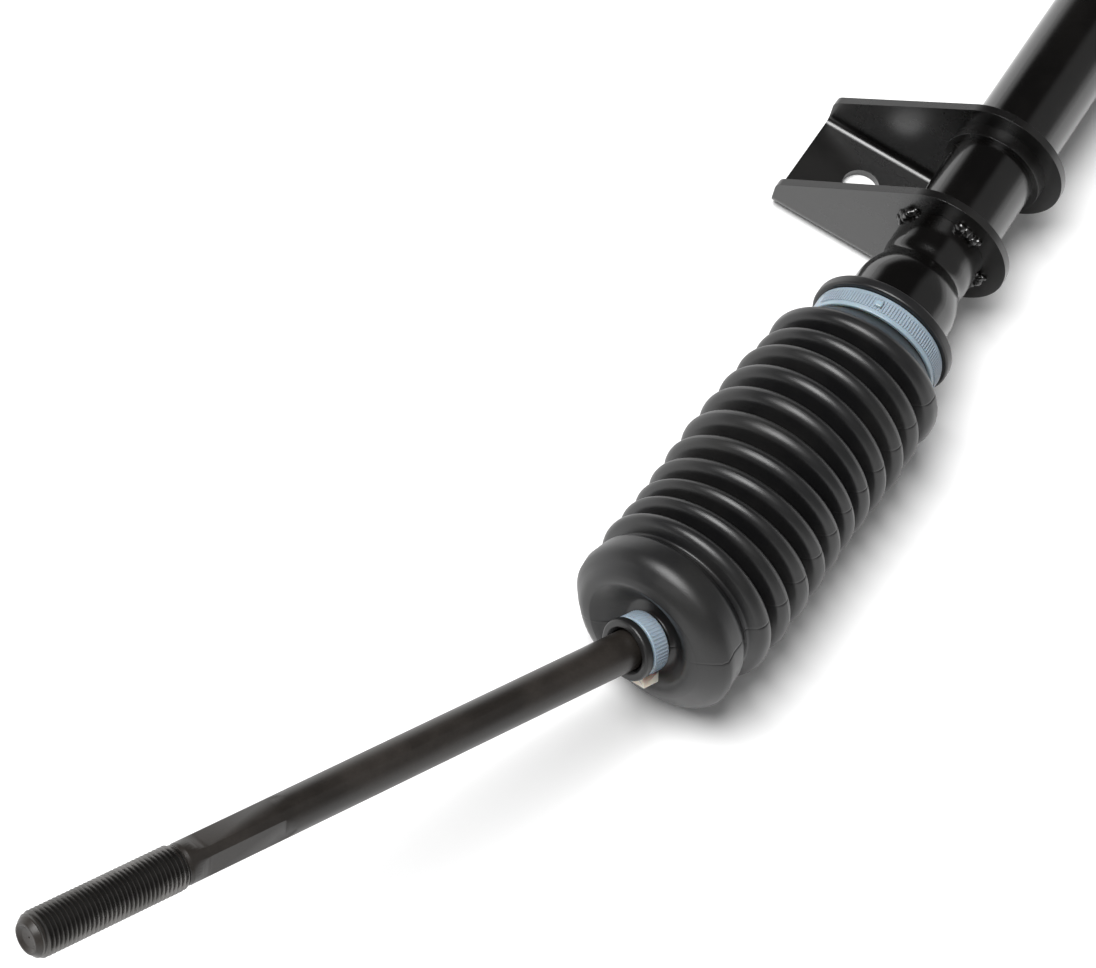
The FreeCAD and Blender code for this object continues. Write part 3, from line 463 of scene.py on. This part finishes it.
edge_rounding = 0.4
cut_edge_turn = 40.0
bracket_crease = 31.0
bracket_near_x = 23.4
bracket_width = 43.8
tack_count = 4
tack_sweep = 24.0
tack_start = -37.0
tack_blobs = 7
tack_stand_off = 0.3
bead_radius = 1.9
bead_lift = 0.8
bead_roughness = 2.4
smallest_bead = (0.6, 0.6, 0.7)
largest_bead = (1.4, 1.3, 1.6)
bracket_paint = gloss_paint("bracket_paint", (0.26, 0.32))


def packed_copy(name):
    """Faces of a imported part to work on, with its loose triangles joined."""
    work = bmesh.new()
    work.from_mesh(nodes[name].data)
    bmesh.ops.remove_doubles(work, verts=work.verts, dist=weld_distance * mm)
    return work


work = packed_copy("mounting_bracket")
bmesh.ops.dissolve_limit(work, angle_limit=math.radians(1), verts=work.verts, edges=work.edges)
cut_edges = [edge for edge in work.edges
             if edge.is_convex and edge.calc_face_angle(0) > math.radians(cut_edge_turn)]
bmesh.ops.bevel(work, geom=cut_edges, offset=edge_rounding * mm, offset_type="OFFSET", segments=4,
                profile=0.5, affect="EDGES", clamp_overlap=True)
bracket = show("bracket", smooth_mesh("bracket", work, bracket_paint, bracket_crease),
               "housing", "painted_steel", "mounting_bracket")
keep_flats(bracket)


def grown(name, group, values):
    """Plain mesh that a geometry tree makes from its named values."""
    base = bpy.data.objects.new(name, bpy.data.meshes.new(name))
    scene.collection.objects.link(base)
    modifier = base.modifiers.new("grown", "NODES")
    modifier.node_group = group
    set_inputs(modifier, values)
    ready = base.evaluated_get(bpy.context.evaluated_depsgraph_get())
    mesh = bpy.data.meshes.new_from_object(ready)
    bpy.data.objects.remove(base)
    return mesh


def ring_spot(tree, angle, radius):
    """Place at an angle on a ring in the YZ plane, as a socket."""
    across = reckon(tree, "MULTIPLY", reckon(tree, "COSINE", angle), radius)
    up = reckon(tree, "MULTIPLY", reckon(tree, "SINE", angle), radius)
    return add(tree, "ShaderNodeCombineXYZ", {1: across, 2: up}).outputs[0]


def make_tack_group():
    """Rows of overlapping blobs of weld metal round a tube, in the YZ plane."""
    group, given = geometry_group("weld_tacks", (
        ("Tacks", "Int"), ("Blobs", "Int"), ("Radius", "Float"), ("First Angle", "Float"),
        ("Sweep", "Float"), ("Bead", "Float"), ("Seed", "Int"), ("Material", "Material")))
    points = add(group, "GeometryNodeMeshLine", {
        "Count": reckon(group, "MULTIPLY", given.outputs["Tacks"], given.outputs["Blobs"])})
    index = add(group, "GeometryNodeInputIndex").outputs[0]
    tack = reckon(group, "FLOOR", reckon(group, "DIVIDE", index, given.outputs["Blobs"]))
    place = reckon(group, "MODULO", index, given.outputs["Blobs"])
    step = reckon(group, "DIVIDE", given.outputs["Sweep"],
                  reckon(group, "SUBTRACT", given.outputs["Blobs"], 1.0))
    spacing = reckon(group, "DIVIDE", math.tau, given.outputs["Tacks"])
    angle = reckon(group, "MULTIPLY_ADD", tack, spacing, given.outputs["First Angle"])
    angle = reckon(group, "MULTIPLY_ADD", place, step, angle)
    row = add(group, "GeometryNodeSetPosition", {
        "Geometry": points.outputs[0],
        "Position": ring_spot(group, angle, given.outputs["Radius"])})
    size = add(group, "FunctionNodeRandomValue", {
        0: smallest_bead, 1: largest_bead, "Seed": given.outputs["Seed"]},
        data_type="FLOAT_VECTOR")
    tilt = add(group, "FunctionNodeRandomValue", {
        0: (0.0, 0.0, 0.0), 1: (3.0, 3.0, 3.0), "Seed": given.outputs["Seed"]},
        data_type="FLOAT_VECTOR")
    blob = add(group, "GeometryNodeMeshIcoSphere", {"Radius": given.outputs["Bead"],
                                                    "Subdivisions": 3})
    beads = add(group, "GeometryNodeInstanceOnPoints", {
        "Points": row.outputs[0], "Instance": blob.outputs[0], "Rotation": tilt.outputs[0],
        "Scale": size.outputs[0]})
    real = add(group, "GeometryNodeRealizeInstances", {0: beads.outputs[0]})
    rough = add(group, "ShaderNodeTexNoise", {"Scale": 520.0, "Detail": 3.0})
    off = reckon(group, "MULTIPLY", reckon(group, "SUBTRACT", rough.outputs[0], 0.5),
                 bead_roughness * mm)
    normal = add(group, "GeometryNodeInputNormal")
    push = add(group, "ShaderNodeVectorMath", {0: normal.outputs[0], "Scale": off},
               operation="SCALE")
    lumpy = add(group, "GeometryNodeSetPosition", {"Geometry": real.outputs[0],
                                                   "Offset": push.outputs[0]})
    smooth = add(group, "GeometryNodeSetShadeSmooth", {"Geometry": lumpy.outputs[0]})
    painted = add(group, "GeometryNodeSetMaterial", {
        "Geometry": smooth.outputs[0], "Material": given.outputs["Material"]})
    add(group, "NodeGroupOutput", {0: painted.outputs[0]})
    return group


tack_group = make_tack_group()
beads = bmesh.new()
for seed, tack_x in ((3, bracket_near_x + tack_stand_off),
                     (8, bracket_near_x - bracket_width - tack_stand_off)):
    row = grown("tack_row", tack_group, {
        "Tacks": tack_count, "Blobs": tack_blobs, "Radius": (tube_radius + bead_lift) * mm,
        "First Angle": math.radians(tack_start), "Sweep": math.radians(tack_sweep),
        "Bead": bead_radius * mm, "Seed": seed, "Material": black_paint})
    row.transform(Matrix.Translation(axis_origin + Vector((tack_x * mm, 0, 0))))
    beads.from_mesh(row)
show("weld_tacks", smooth_mesh("weld_tacks", beads, black_paint), "housing", "painted_steel",
     "bracket_welds")

# Tie rods: forged and blackened, with a rolled M14 x 1.5 thread on their outer end. The rod's
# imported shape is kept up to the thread, and the thread's ridge is swept along its helix.

ball_of = {"near": Vector((192.0, rack_y, rack_z)), "far": Vector((-468.0, rack_y, rack_z))}
outward_of = {"near": Vector((1, 0, 0)), "far": Vector((-1, 0, 0))}
near_yaw = math.radians(-22.6)
near_pitch = math.radians(15.2)
rod_way = {"near": Vector((math.cos(near_yaw) * math.cos(near_pitch),
                           math.sin(near_yaw) * math.cos(near_pitch), math.sin(near_pitch))),
           "far": Vector((-1, 0, 0))}
rod_length = 252.4
thread_length = 52.5
thread_radius = 7.0
thread_pitch = 1.5
thread_depth = 0.92
thread_start = rod_length - thread_length
thread_run_out = 1.2
root_radius = thread_radius - thread_depth
ridge_foot_share = 1.6
ridge_crest_share = 0.14
ridge_least = 0.05
run_out_share = 0.7
shank_overlap = 0.2
tip_radius = root_radius - 1.3
tip_taper = 1.6
tip_dish = 1.2
rod_segments = 64
rod_crease = 17.0


def make_thread_group():
    """Ridge of a thread along +Z, fading out at both of its ends."""
    group, given = geometry_group("rolled_thread", (
        ("Root Radius", "Float"), ("Depth", "Float"), ("Pitch", "Float"), ("Length", "Float"),
        ("Material", "Material")))
    turns = reckon(group, "DIVIDE", given.outputs["Length"], given.outputs["Pitch"])
    helix = add(group, "GeometryNodeCurveSpiral", {
        "Resolution": 60, "Rotations": turns, "Start Radius": given.outputs["Root Radius"],
        "End Radius": given.outputs["Root Radius"], "Height": given.outputs["Length"]})
    passed = add(group, "GeometryNodeSplineParameter").outputs["Factor"]
    run_in = reckon(group, "MULTIPLY", passed, turns)
    run_out = reckon(group, "MULTIPLY", reckon(group, "SUBTRACT", 1.0, passed), turns)
    run_out = reckon(group, "MULTIPLY", run_out, run_out_share)
    full = reckon(group, "MINIMUM", reckon(group, "MINIMUM", run_in, run_out), 1.0)
    full = reckon(group, "MAXIMUM", full, ridge_least)
    upright = add(group, "GeometryNodeSetCurveNormal", {"Curve": helix.outputs[0]}, mode="Z_UP")
    sized = add(group, "GeometryNodeSetCurveRadius", {"Curve": upright.outputs[0],
                                                      "Radius": full})
    shape = add(group, "GeometryNodeCurvePrimitiveQuadrilateral", {
        "Height": reckon(group, "MULTIPLY", given.outputs["Depth"], 2.0),
        "Bottom Width": reckon(group, "MULTIPLY", given.outputs["Pitch"], ridge_foot_share),
        "Top Width": reckon(group, "MULTIPLY", given.outputs["Pitch"], ridge_crest_share),
        "Offset": 0.0}, mode="TRAPEZOID")
    turned_shape = add(group, "GeometryNodeTransform", {
        "Geometry": shape.outputs[0], "Rotation": (0.0, 0.0, math.pi / 2)})
    ridge = add(group, "GeometryNodeCurveToMesh", {
        "Curve": sized.outputs[0], "Profile Curve": turned_shape.outputs[0],
        "Scale": add(group, "GeometryNodeInputRadius").outputs[0], "Fill Caps": True})
    edges = add(group, "GeometryNodeSetShadeSmooth", {"Geometry": ridge.outputs[0],
                                                      "Shade Smooth": False})
    real = add(group, "GeometryNodeRealizeInstances", {0: edges.outputs[0]})
    steel = add(group, "GeometryNodeSetMaterial", {
        "Geometry": real.outputs[0], "Material": given.outputs["Material"]})
    add(group, "NodeGroupOutput", {0: steel.outputs[0]})
    return group


def shank_mesh(side):
    """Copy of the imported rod, merged and cut off where its thread starts."""
    cut_at = (ball_of[side] + rod_way[side] * (thread_start + shank_overlap)) * mm
    work = packed_copy(side + "_tie_rod")
    bmesh.ops.bisect_plane(work, geom=work.verts[:] + work.edges[:] + work.faces[:],
                           dist=1e-7, plane_co=cut_at, plane_no=rod_way[side], clear_outer=True)
    rim = [edge for edge in work.edges if edge.is_boundary]
    bmesh.ops.contextual_create(work, geom=rim)
    bmesh.ops.dissolve_limit(work, angle_limit=math.radians(0.5), verts=work.verts,
                             edges=work.edges)
    bmesh.ops.triangulate(work, faces=work.faces)
    return smooth_mesh(side + "_shank", work, black_steel, rod_crease)


thread_steel = finish("thread_steel", (0.16, 0.155, 0.15), (0.10, 0.097, 0.093),
                      roughness=(0.25, 0.35), patch_scale=45, grain_scale=1300,
                      grain_depth=0.006, speckle=0.4, plain={"Metallic": 1.0})
thread_group = make_thread_group()
for side in ("near", "far"):
    shank = show(side + "_rod_shank", shank_mesh(side), side + "_rod", "forged_steel",
                 side + "_tie_rod")
    keep_flats(shank)
    to_rod = (Matrix.Translation(ball_of[side] * mm)
              @ Vector((0, 0, 1)).rotation_difference(rod_way[side]).to_matrix().to_4x4())
    ridge = grown(side + "_rod_thread", thread_group, {
        "Root Radius": root_radius * mm, "Depth": thread_depth * mm,
        "Pitch": thread_pitch * mm, "Length": (thread_length - thread_run_out) * mm,
        "Material": thread_steel})
    ridge.transform(to_rod @ Matrix.Translation((0, 0, thread_start * mm)))
    show(side + "_rod_thread", ridge, side + "_rod", "forged_steel")
    core_outline = rounded([
        (thread_start, 0.3), (thread_start, root_radius),
        (rod_length - tip_taper, root_radius, 0.5), (rod_length, tip_radius, 0.4),
        (rod_length, tip_radius - 0.6, 0.2), (rod_length - tip_dish + 0.3, tip_radius - 1.9, 1.0),
        (rod_length - tip_dish, 0.3)])
    core_form = turned(core_outline, ball_of[side] * mm, rod_way[side], rod_segments)
    show(side + "_rod_core", mesh_of(side + "_rod_core", *core_form, black_steel), side + "_rod",
         "forged_steel")

# Bellows: moulded black rubber, with eleven folds between a cuff and a dome that closes on the
# tie rod. It is cut into bands at its valleys, and each band stays where it is made; the bodies
# and shares listed with it, slide_share among them, are not used.

first_crest = -105.9
fold_pitch = 10.03
fold_bow = 0.8
fold_count = 11
crest_radius = 31.5
first_crest_radius = 30.6
smaller_crests = 2
crest_half_flat = 2.4
crest_rounding = 3.1
valley_radius = 23.2
last_valley_radius = 26.8
valley_half_flat = 0.7
valley_rounding = 0.9
cuff_radius = 22.0
cuff_length = 7.9
lip_radius = 25.0
lip_thickness = 4.0
rubber_wall = 1.3
rubber_crease = 50.0
inner_stride = 3
seat_end = -117.3
dome_corners = [(3.0, 29.2, 5.0), (18.6, 31.0, 9.5), (19.4, 17.5, 8.5), (13.0, 11.0, 2.2)]
neck_root = 16.2
neck_front = 27.2
neck_radius = 8.2
neck_bore = 6.9
neck_lip_radius = 10.2
neck_lip_length = 3.0
lean_reach = 25.6
early_lean_share = 0.32
early_lean_start = -108.0
early_lean_length = 58.0
late_lean_start = -30.0
late_lean_power = 1.8
early_turn_share = 0.45
early_turn_start = -2.0
early_turn_length = 16.0
rod_start = 9.0
square_share = 0.66
square_start = 2.0
square_length = 12.0
square_radius = 11.0
square_radius_rise = 14.0
slide_share = 0.0763
ring_steps = 144
parting_angle = math.radians(28)
parting_depth = 0.2
parting_half_width = 0.28


def soft_step(share):
    """Smooth step of a share that is held between 0 and 1."""
    share = min(max(share, 0), 1)
    return share * share * (3 - 2 * share)


def lean_share(side, along):
    """Share of the neck's lean off the rack's axis, at a distance from the ball."""
    neck_along = lean_reach * rod_way[side].dot(outward_of[side])
    late = min(max((along - late_lean_start) / (neck_along - late_lean_start), 0), 1)
    early = soft_step((along - early_lean_start) / early_lean_length)
    return early_lean_share * early + (1 - early_lean_share) * late ** late_lean_power


def centre_line(side, along):
    """Point of the bellows' centre line and its direction there."""
    outward = outward_of[side]
    off_axis = rod_way[side] - outward * rod_way[side].dot(outward)
    way = outward.copy()
    point = ball_of[side] + outward * along
    if off_axis.length > 1e-6:
        lean = lean_reach * off_axis.length
        sideways = off_axis.normalized()
        point += sideways * lean * lean_share(side, along)
        climb = lean_share(side, along + 0.5) - lean_share(side, along - 0.5)
        way = (outward + sideways * lean * climb).normalized()
    on_rod = ball_of[side] + rod_way[side] * along
    on_neck = soft_step((along - rod_start) / (neck_root - rod_start))
    early = soft_step((along - early_turn_start) / early_turn_length)
    turn = early_turn_share * early + (1 - early_turn_share) * on_neck
    return point.lerp(on_rod, on_neck), way.lerp(rod_way[side], turn).normalized()


ring_angles = [math.tau * step / ring_steps for step in range(ring_steps)]
for half in (0, math.pi):
    for offset in (-0.9, -0.45, -0.2, 0.0, 0.2, 0.45, 0.9):
        ring_angles.append((parting_angle + half + offset / crest_radius) % math.tau)
ring_angles.sort()


def parting_dip(angle, radius):
    """Depth of the mould's parting line at a place round the bellows."""
    off = (angle - parting_angle + math.pi / 2) % math.pi - math.pi / 2
    return parting_depth * math.exp(-(off * radius / parting_half_width) ** 2)


def squareness(along, radius):
    """Share by which a wide ring of the dome stays square to the rack and not to the rod."""
    ahead = soft_step((along - square_start) / square_length)
    return square_share * ahead * soft_step((radius - square_radius) / square_radius_rise)


def skin_points(side, outline, outside=0):
    """Rings of points round the centre line; the parting line cuts the first of them."""
    points = []
    for index, (along, radius) in enumerate(outline):
        point, way = centre_line(side, along)
        way = way.lerp(outward_of[side], squareness(along, radius)).normalized()
        spin = outward_of[side].rotation_difference(way)
        for angle in ring_angles:
            reach = radius - (parting_dip(angle, radius) if index < outside else 0)
            arm = Vector((0, reach * math.cos(angle), reach * math.sin(angle)))
            points.append((point + spin @ arm) * mm)
    return points


def crest(index):
    """Place of a fold's crest; the folds stand closer together near both ends."""
    bow = fold_bow * math.sin(math.pi * index / (fold_count - 1))
    return first_crest + fold_pitch * index + bow


def valley(index):
    """Place of the valley after a fold."""
    if index == fold_count - 1:
        return crest(index) + fold_pitch / 2
    return (crest(index) + crest(index + 1)) / 2


def outer_skin():
    """The outside of the rubber from its cuff to its neck, as (along, radius) points."""
    corners = [(seat_end - 1, cuff_radius), (seat_end, cuff_radius)]
    for index in range(fold_count):
        radius = first_crest_radius if index < smaller_crests else crest_radius
        depth = last_valley_radius if index == fold_count - 1 else valley_radius
        corners += [(crest(index) - crest_half_flat, radius, crest_rounding),
                    (crest(index) + crest_half_flat, radius, crest_rounding),
                    (valley(index) - valley_half_flat, depth, valley_rounding),
                    (valley(index), depth),
                    (valley(index) + valley_half_flat, depth, valley_rounding)]
    corners += dome_corners
    corners += [(neck_root - 0.8, neck_radius, 1.2), (neck_root, neck_radius),
                (neck_root + 1, neck_radius), (neck_root + 1, 0)]
    return rounded(corners)[1:-2]


skin = outer_skin()


def inner_skin(outer):
    """The inside of a stretch of rubber, one wall away from its outside, with fewer points."""
    inner = []
    for index, point in enumerate(outer):
        if index % inner_stride and index < len(outer) - 1:
            continue
        tangent = outer[min(index + 1, len(outer) - 1)] - outer[max(index - 1, 0)]
        if index in (0, len(outer) - 1):
            tangent = Vector((1, 0))
        tangent.normalize()
        inner.append(point + Vector((tangent.y, -tangent.x)) * rubber_wall)
    return inner


def band_mesh(name, side, start, end):
    """Closed band of the skin between two places along the rack's axis."""
    reach = end + 0.01 if end < neck_root else math.inf
    outer = [point for point in skin if start - 0.01 <= point[0] <= reach]
    outline = outer + list(reversed(inner_skin(outer)))
    return mesh_of(name, skin_points(side, outline, len(outer)),
                   ring_faces(len(outline), len(ring_angles)), rubber, rubber_crease)


def bend_band(piece):
    """Moves a band's placement into its mesh, so that it stays where it is made."""
    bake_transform(piece)


for side in ("near", "far"):
    lip_start = seat_end - cuff_length - lip_thickness
    lip_end = lip_start + lip_thickness
    cuff_outline = rounded([
        (lip_start, flare_radius), (lip_start, lip_radius, 1.0), (lip_end, lip_radius, 0.9),
        (lip_end, cuff_radius, 0.3), (seat_end, cuff_radius), (seat_end, flare_radius)])
    cuff = mesh_of(side + "_cuff", skin_points(side, cuff_outline),
                   ring_faces(len(cuff_outline), len(ring_angles)), rubber, rubber_crease)
    show(side + "_cuff", cuff, "housing", "rubber", side + "_bellows")
    bands = (("first_fold", "housing", "rack", seat_end, valley(0), 0.0, slide_share),
             ("rear_folds", "housing", "rack", valley(0), valley(3), slide_share, 0.5),
             ("front_folds", "housing", "rack", valley(3), valley(6), 0.5, 1 - slide_share),
             ("last_slide_fold", "housing", "rack", valley(6), valley(7), 1 - slide_share, 1.0),
             ("neck_folds", "rack", side + "_seat", valley(7), valley(10), 0.0, 1.0),
             ("dome", side + "_seat", side + "_rod", valley(10), neck_root, 0.0, 1.0))
    for name, first_body, last_body, start, end, first, last in bands:
        piece_name = side + "_" + name
        piece = show(piece_name, band_mesh(piece_name, side, start, end), None, "rubber")
        bend_band(piece)
    neck_outline = rounded([
        (neck_root, neck_radius), (neck_front - neck_lip_length - 0.2, neck_radius, 0.2),
        (neck_front - neck_lip_length, neck_lip_radius, 0.6), (neck_front, neck_lip_radius, 0.9),
        (neck_front, 8.0, 0.5), (neck_front - 1.2, neck_bore, 0.3), (neck_root, neck_bore)])
    neck = mesh_of(side + "_neck", skin_points(side, neck_outline),
                   ring_faces(len(neck_outline), len(ring_angles)), rubber, rubber_crease)
    show(side + "_neck", neck, side + "_rod", "rubber")

# Nylon ties: a natural nylon band with fine ribs across it, pulled tight through its own head.
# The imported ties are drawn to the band's full width, and the ribs are set round them.

tie_thickness = 1.35
tie_clearance = 0.25
tie_head_height = 0.4
tie_crease = 32.0
large_tie_middle = -121.2
large_tie_width = 7.7
large_tie_outer = cuff_radius + tie_clearance + tie_thickness
small_tie_middle = 20.4
small_tie_width = 6.1
small_tie_outer = neck_radius + tie_clearance + tie_thickness
rib_height = 0.16
rib_width_share = 0.55
nub_size = Vector((2.6, 2.4, 1.5))
nub_angle = math.radians(98)
nub_rounding = 0.45
nub_lift = 0.35
tie_nylon = finish("tie_nylon", (0.31, 0.36, 0.41), (0.28, 0.32, 0.37),
                   roughness=(0.3, 0.38), patch_scale=60, grain_scale=1200,
                   grain_depth=0.008, speckle=0.1, plain={"Subsurface Weight": 0.2})


def make_rib_group():
    """Bars lying along +X, side by side round a ring in the YZ plane."""
    group, given = geometry_group("ribs_round_a_ring", (
        ("Count", "Int"), ("Radius", "Float"), ("First Angle", "Float"), ("Sweep", "Float"),
        ("Length", "Float"), ("Width", "Float"), ("Height", "Float"), ("Material", "Material")))
    points = add(group, "GeometryNodeMeshLine", {"Count": given.outputs["Count"]})
    index = add(group, "GeometryNodeInputIndex").outputs[0]
    share = reckon(group, "DIVIDE", index, given.outputs["Count"])
    angle = reckon(group, "MULTIPLY_ADD", share, given.outputs["Sweep"],
                   given.outputs["First Angle"])
    placed = add(group, "GeometryNodeSetPosition", {
        "Geometry": points.outputs[0],
        "Position": ring_spot(group, angle, given.outputs["Radius"])})
    bar = add(group, "GeometryNodeMeshCylinder", {"Vertices": 10, "Radius": 0.5, "Depth": 1.0})
    lying = add(group, "GeometryNodeTransform", {"Geometry": bar.outputs[0],
                                                 "Rotation": (0.0, math.pi / 2, 0.0)})
    scale = add(group, "ShaderNodeCombineXYZ", {
        0: given.outputs["Length"], 1: given.outputs["Width"],
        2: reckon(group, "MULTIPLY", given.outputs["Height"], 2.0)})
    turn = add(group, "ShaderNodeCombineXYZ", {
        0: reckon(group, "SUBTRACT", angle, math.pi / 2)})
    ribs = add(group, "GeometryNodeInstanceOnPoints", {
        "Points": placed.outputs[0], "Instance": lying.outputs[0], "Rotation": turn.outputs[0],
        "Scale": scale.outputs[0]})
    real = add(group, "GeometryNodeRealizeInstances", {0: ribs.outputs[0]})
    moulded = add(group, "GeometryNodeSetMaterial", {
        "Geometry": real.outputs[0], "Material": given.outputs["Material"]})
    add(group, "NodeGroupOutput", {0: moulded.outputs[0]})
    return group


rib_group = make_rib_group()


def tie_mesh(side, name, way, middle, width, outer):
    """Copy of a packed tie, drawn along its axis to a middle and a width; its head is a white
    painted highlight.
    """
    origin = ball_of[side] * mm
    work = packed_copy(name)
    along = [(vert.co - origin).dot(way) for vert in work.verts]
    low, high = min(along), max(along)
    stretch = width * mm / (high - low)
    for vert, place in zip(work.verts, along):
        vert.co += way * ((place - (low + high) / 2) * stretch + middle * mm - place)
    mesh = smooth_mesh(name, work, tie_nylon, tie_crease)
    # The head's faces get the white nylon: a painted highlight for a head that is lit brighter
    # than its band.
    mesh.materials.append(white_nylon_and_lit_head)
    for face in mesh.polygons:
        arm = face.center - origin
        arm -= way * arm.dot(way)
        if arm.length > (outer + tie_head_height) * mm:
            face.material_index = 1
    return mesh


for side in ("near", "far"):
    ties = (("large_tie", "housing", outward_of[side], large_tie_middle, large_tie_width,
             large_tie_outer, 1.05, 0.6, 225, 290),
            ("small_tie", side + "_rod", rod_way[side], small_tie_middle, small_tie_width,
             small_tie_outer, 1.2, 0.8, 240, 320))
    for name, body, way, middle, width, outer, rib_pitch, rib_share, first, sweep in ties:
        tie_name = side + "_" + name
        show(tie_name + "_band", tie_mesh(side, tie_name, way, middle, width, outer), body,
             "nylon_tie", tie_name)
        ribs = grown(tie_name + "_ribs", rib_group, {
            "Count": round(math.radians(sweep) * outer / rib_pitch), "Radius": outer * mm,
            "First Angle": math.radians(first), "Sweep": math.radians(sweep),
            "Length": width * rib_share * mm, "Width": rib_pitch * rib_width_share * mm,
            "Height": rib_height * mm, "Material": tie_nylon})
        spin = Vector((1, 0, 0)).rotation_difference(way).to_matrix().to_4x4()
        place = Matrix.Translation((ball_of[side] + way * middle) * mm)
        ribs.transform(place @ spin)
        show(tie_name + "_ribs", ribs, body, "nylon_tie")

for side in ("near", "far"):
    work = bmesh.new()
    bmesh.ops.create_cube(work, size=mm)
    bmesh.ops.scale(work, vec=nub_size, verts=work.verts)
    bmesh.ops.bevel(work, geom=work.edges[:], offset=nub_rounding * mm, offset_type="OFFSET",
                    segments=3, profile=0.5, affect="EDGES")
    spin = Matrix.Rotation(nub_angle - math.pi / 2, 3, "X")
    bmesh.ops.rotate(work, verts=work.verts, matrix=spin)
    arm = Vector((0, math.cos(nub_angle), math.sin(nub_angle))) * (large_tie_outer + nub_lift)
    middle = ball_of[side] + outward_of[side] * large_tie_middle + arm
    bmesh.ops.translate(work, verts=work.verts, vec=middle * mm)
    show(side + "_large_tie_nub", smooth_mesh(side + "_tie_nub", work, tie_nylon), "housing",
         "nylon_tie")

# Serrated end of the pinion shaft, rolled where the steering column's clamp grips it. The ribs
# stop on each side of the groove that the clamp's bolt passes through.

pinion_x = -258.0
pinion_y = 52.56
serration_ends = ((77.6, 82.4), (91.6, 99.6))
serration_count = 36
serration_radius = 7.2
serration_width = 0.8
serration_height = 0.5

upright = Matrix.Rotation(-math.pi / 2, 4, "Y")
serration_mesh = bmesh.new()
for low, high in serration_ends:
    ring = grown("serrations", rib_group, {
        "Count": serration_count, "Radius": serration_radius * mm, "First Angle": 0.0,
        "Sweep": math.tau, "Length": (high - low) * mm, "Width": serration_width * mm,
        "Height": serration_height * mm, "Material": ground_steel})
    middle = Vector((pinion_x, pinion_y, (low + high) / 2)) * mm
    ring.transform(Matrix.Translation(middle) @ upright)
    serration_mesh.from_mesh(ring)
serrations = bpy.data.meshes.new("pinion_serrations")
serration_mesh.to_mesh(serrations)
serration_mesh.free()
serrations.materials.append(ground_steel)
show("pinion_serrations", serrations, "pinion", "ground_steel")
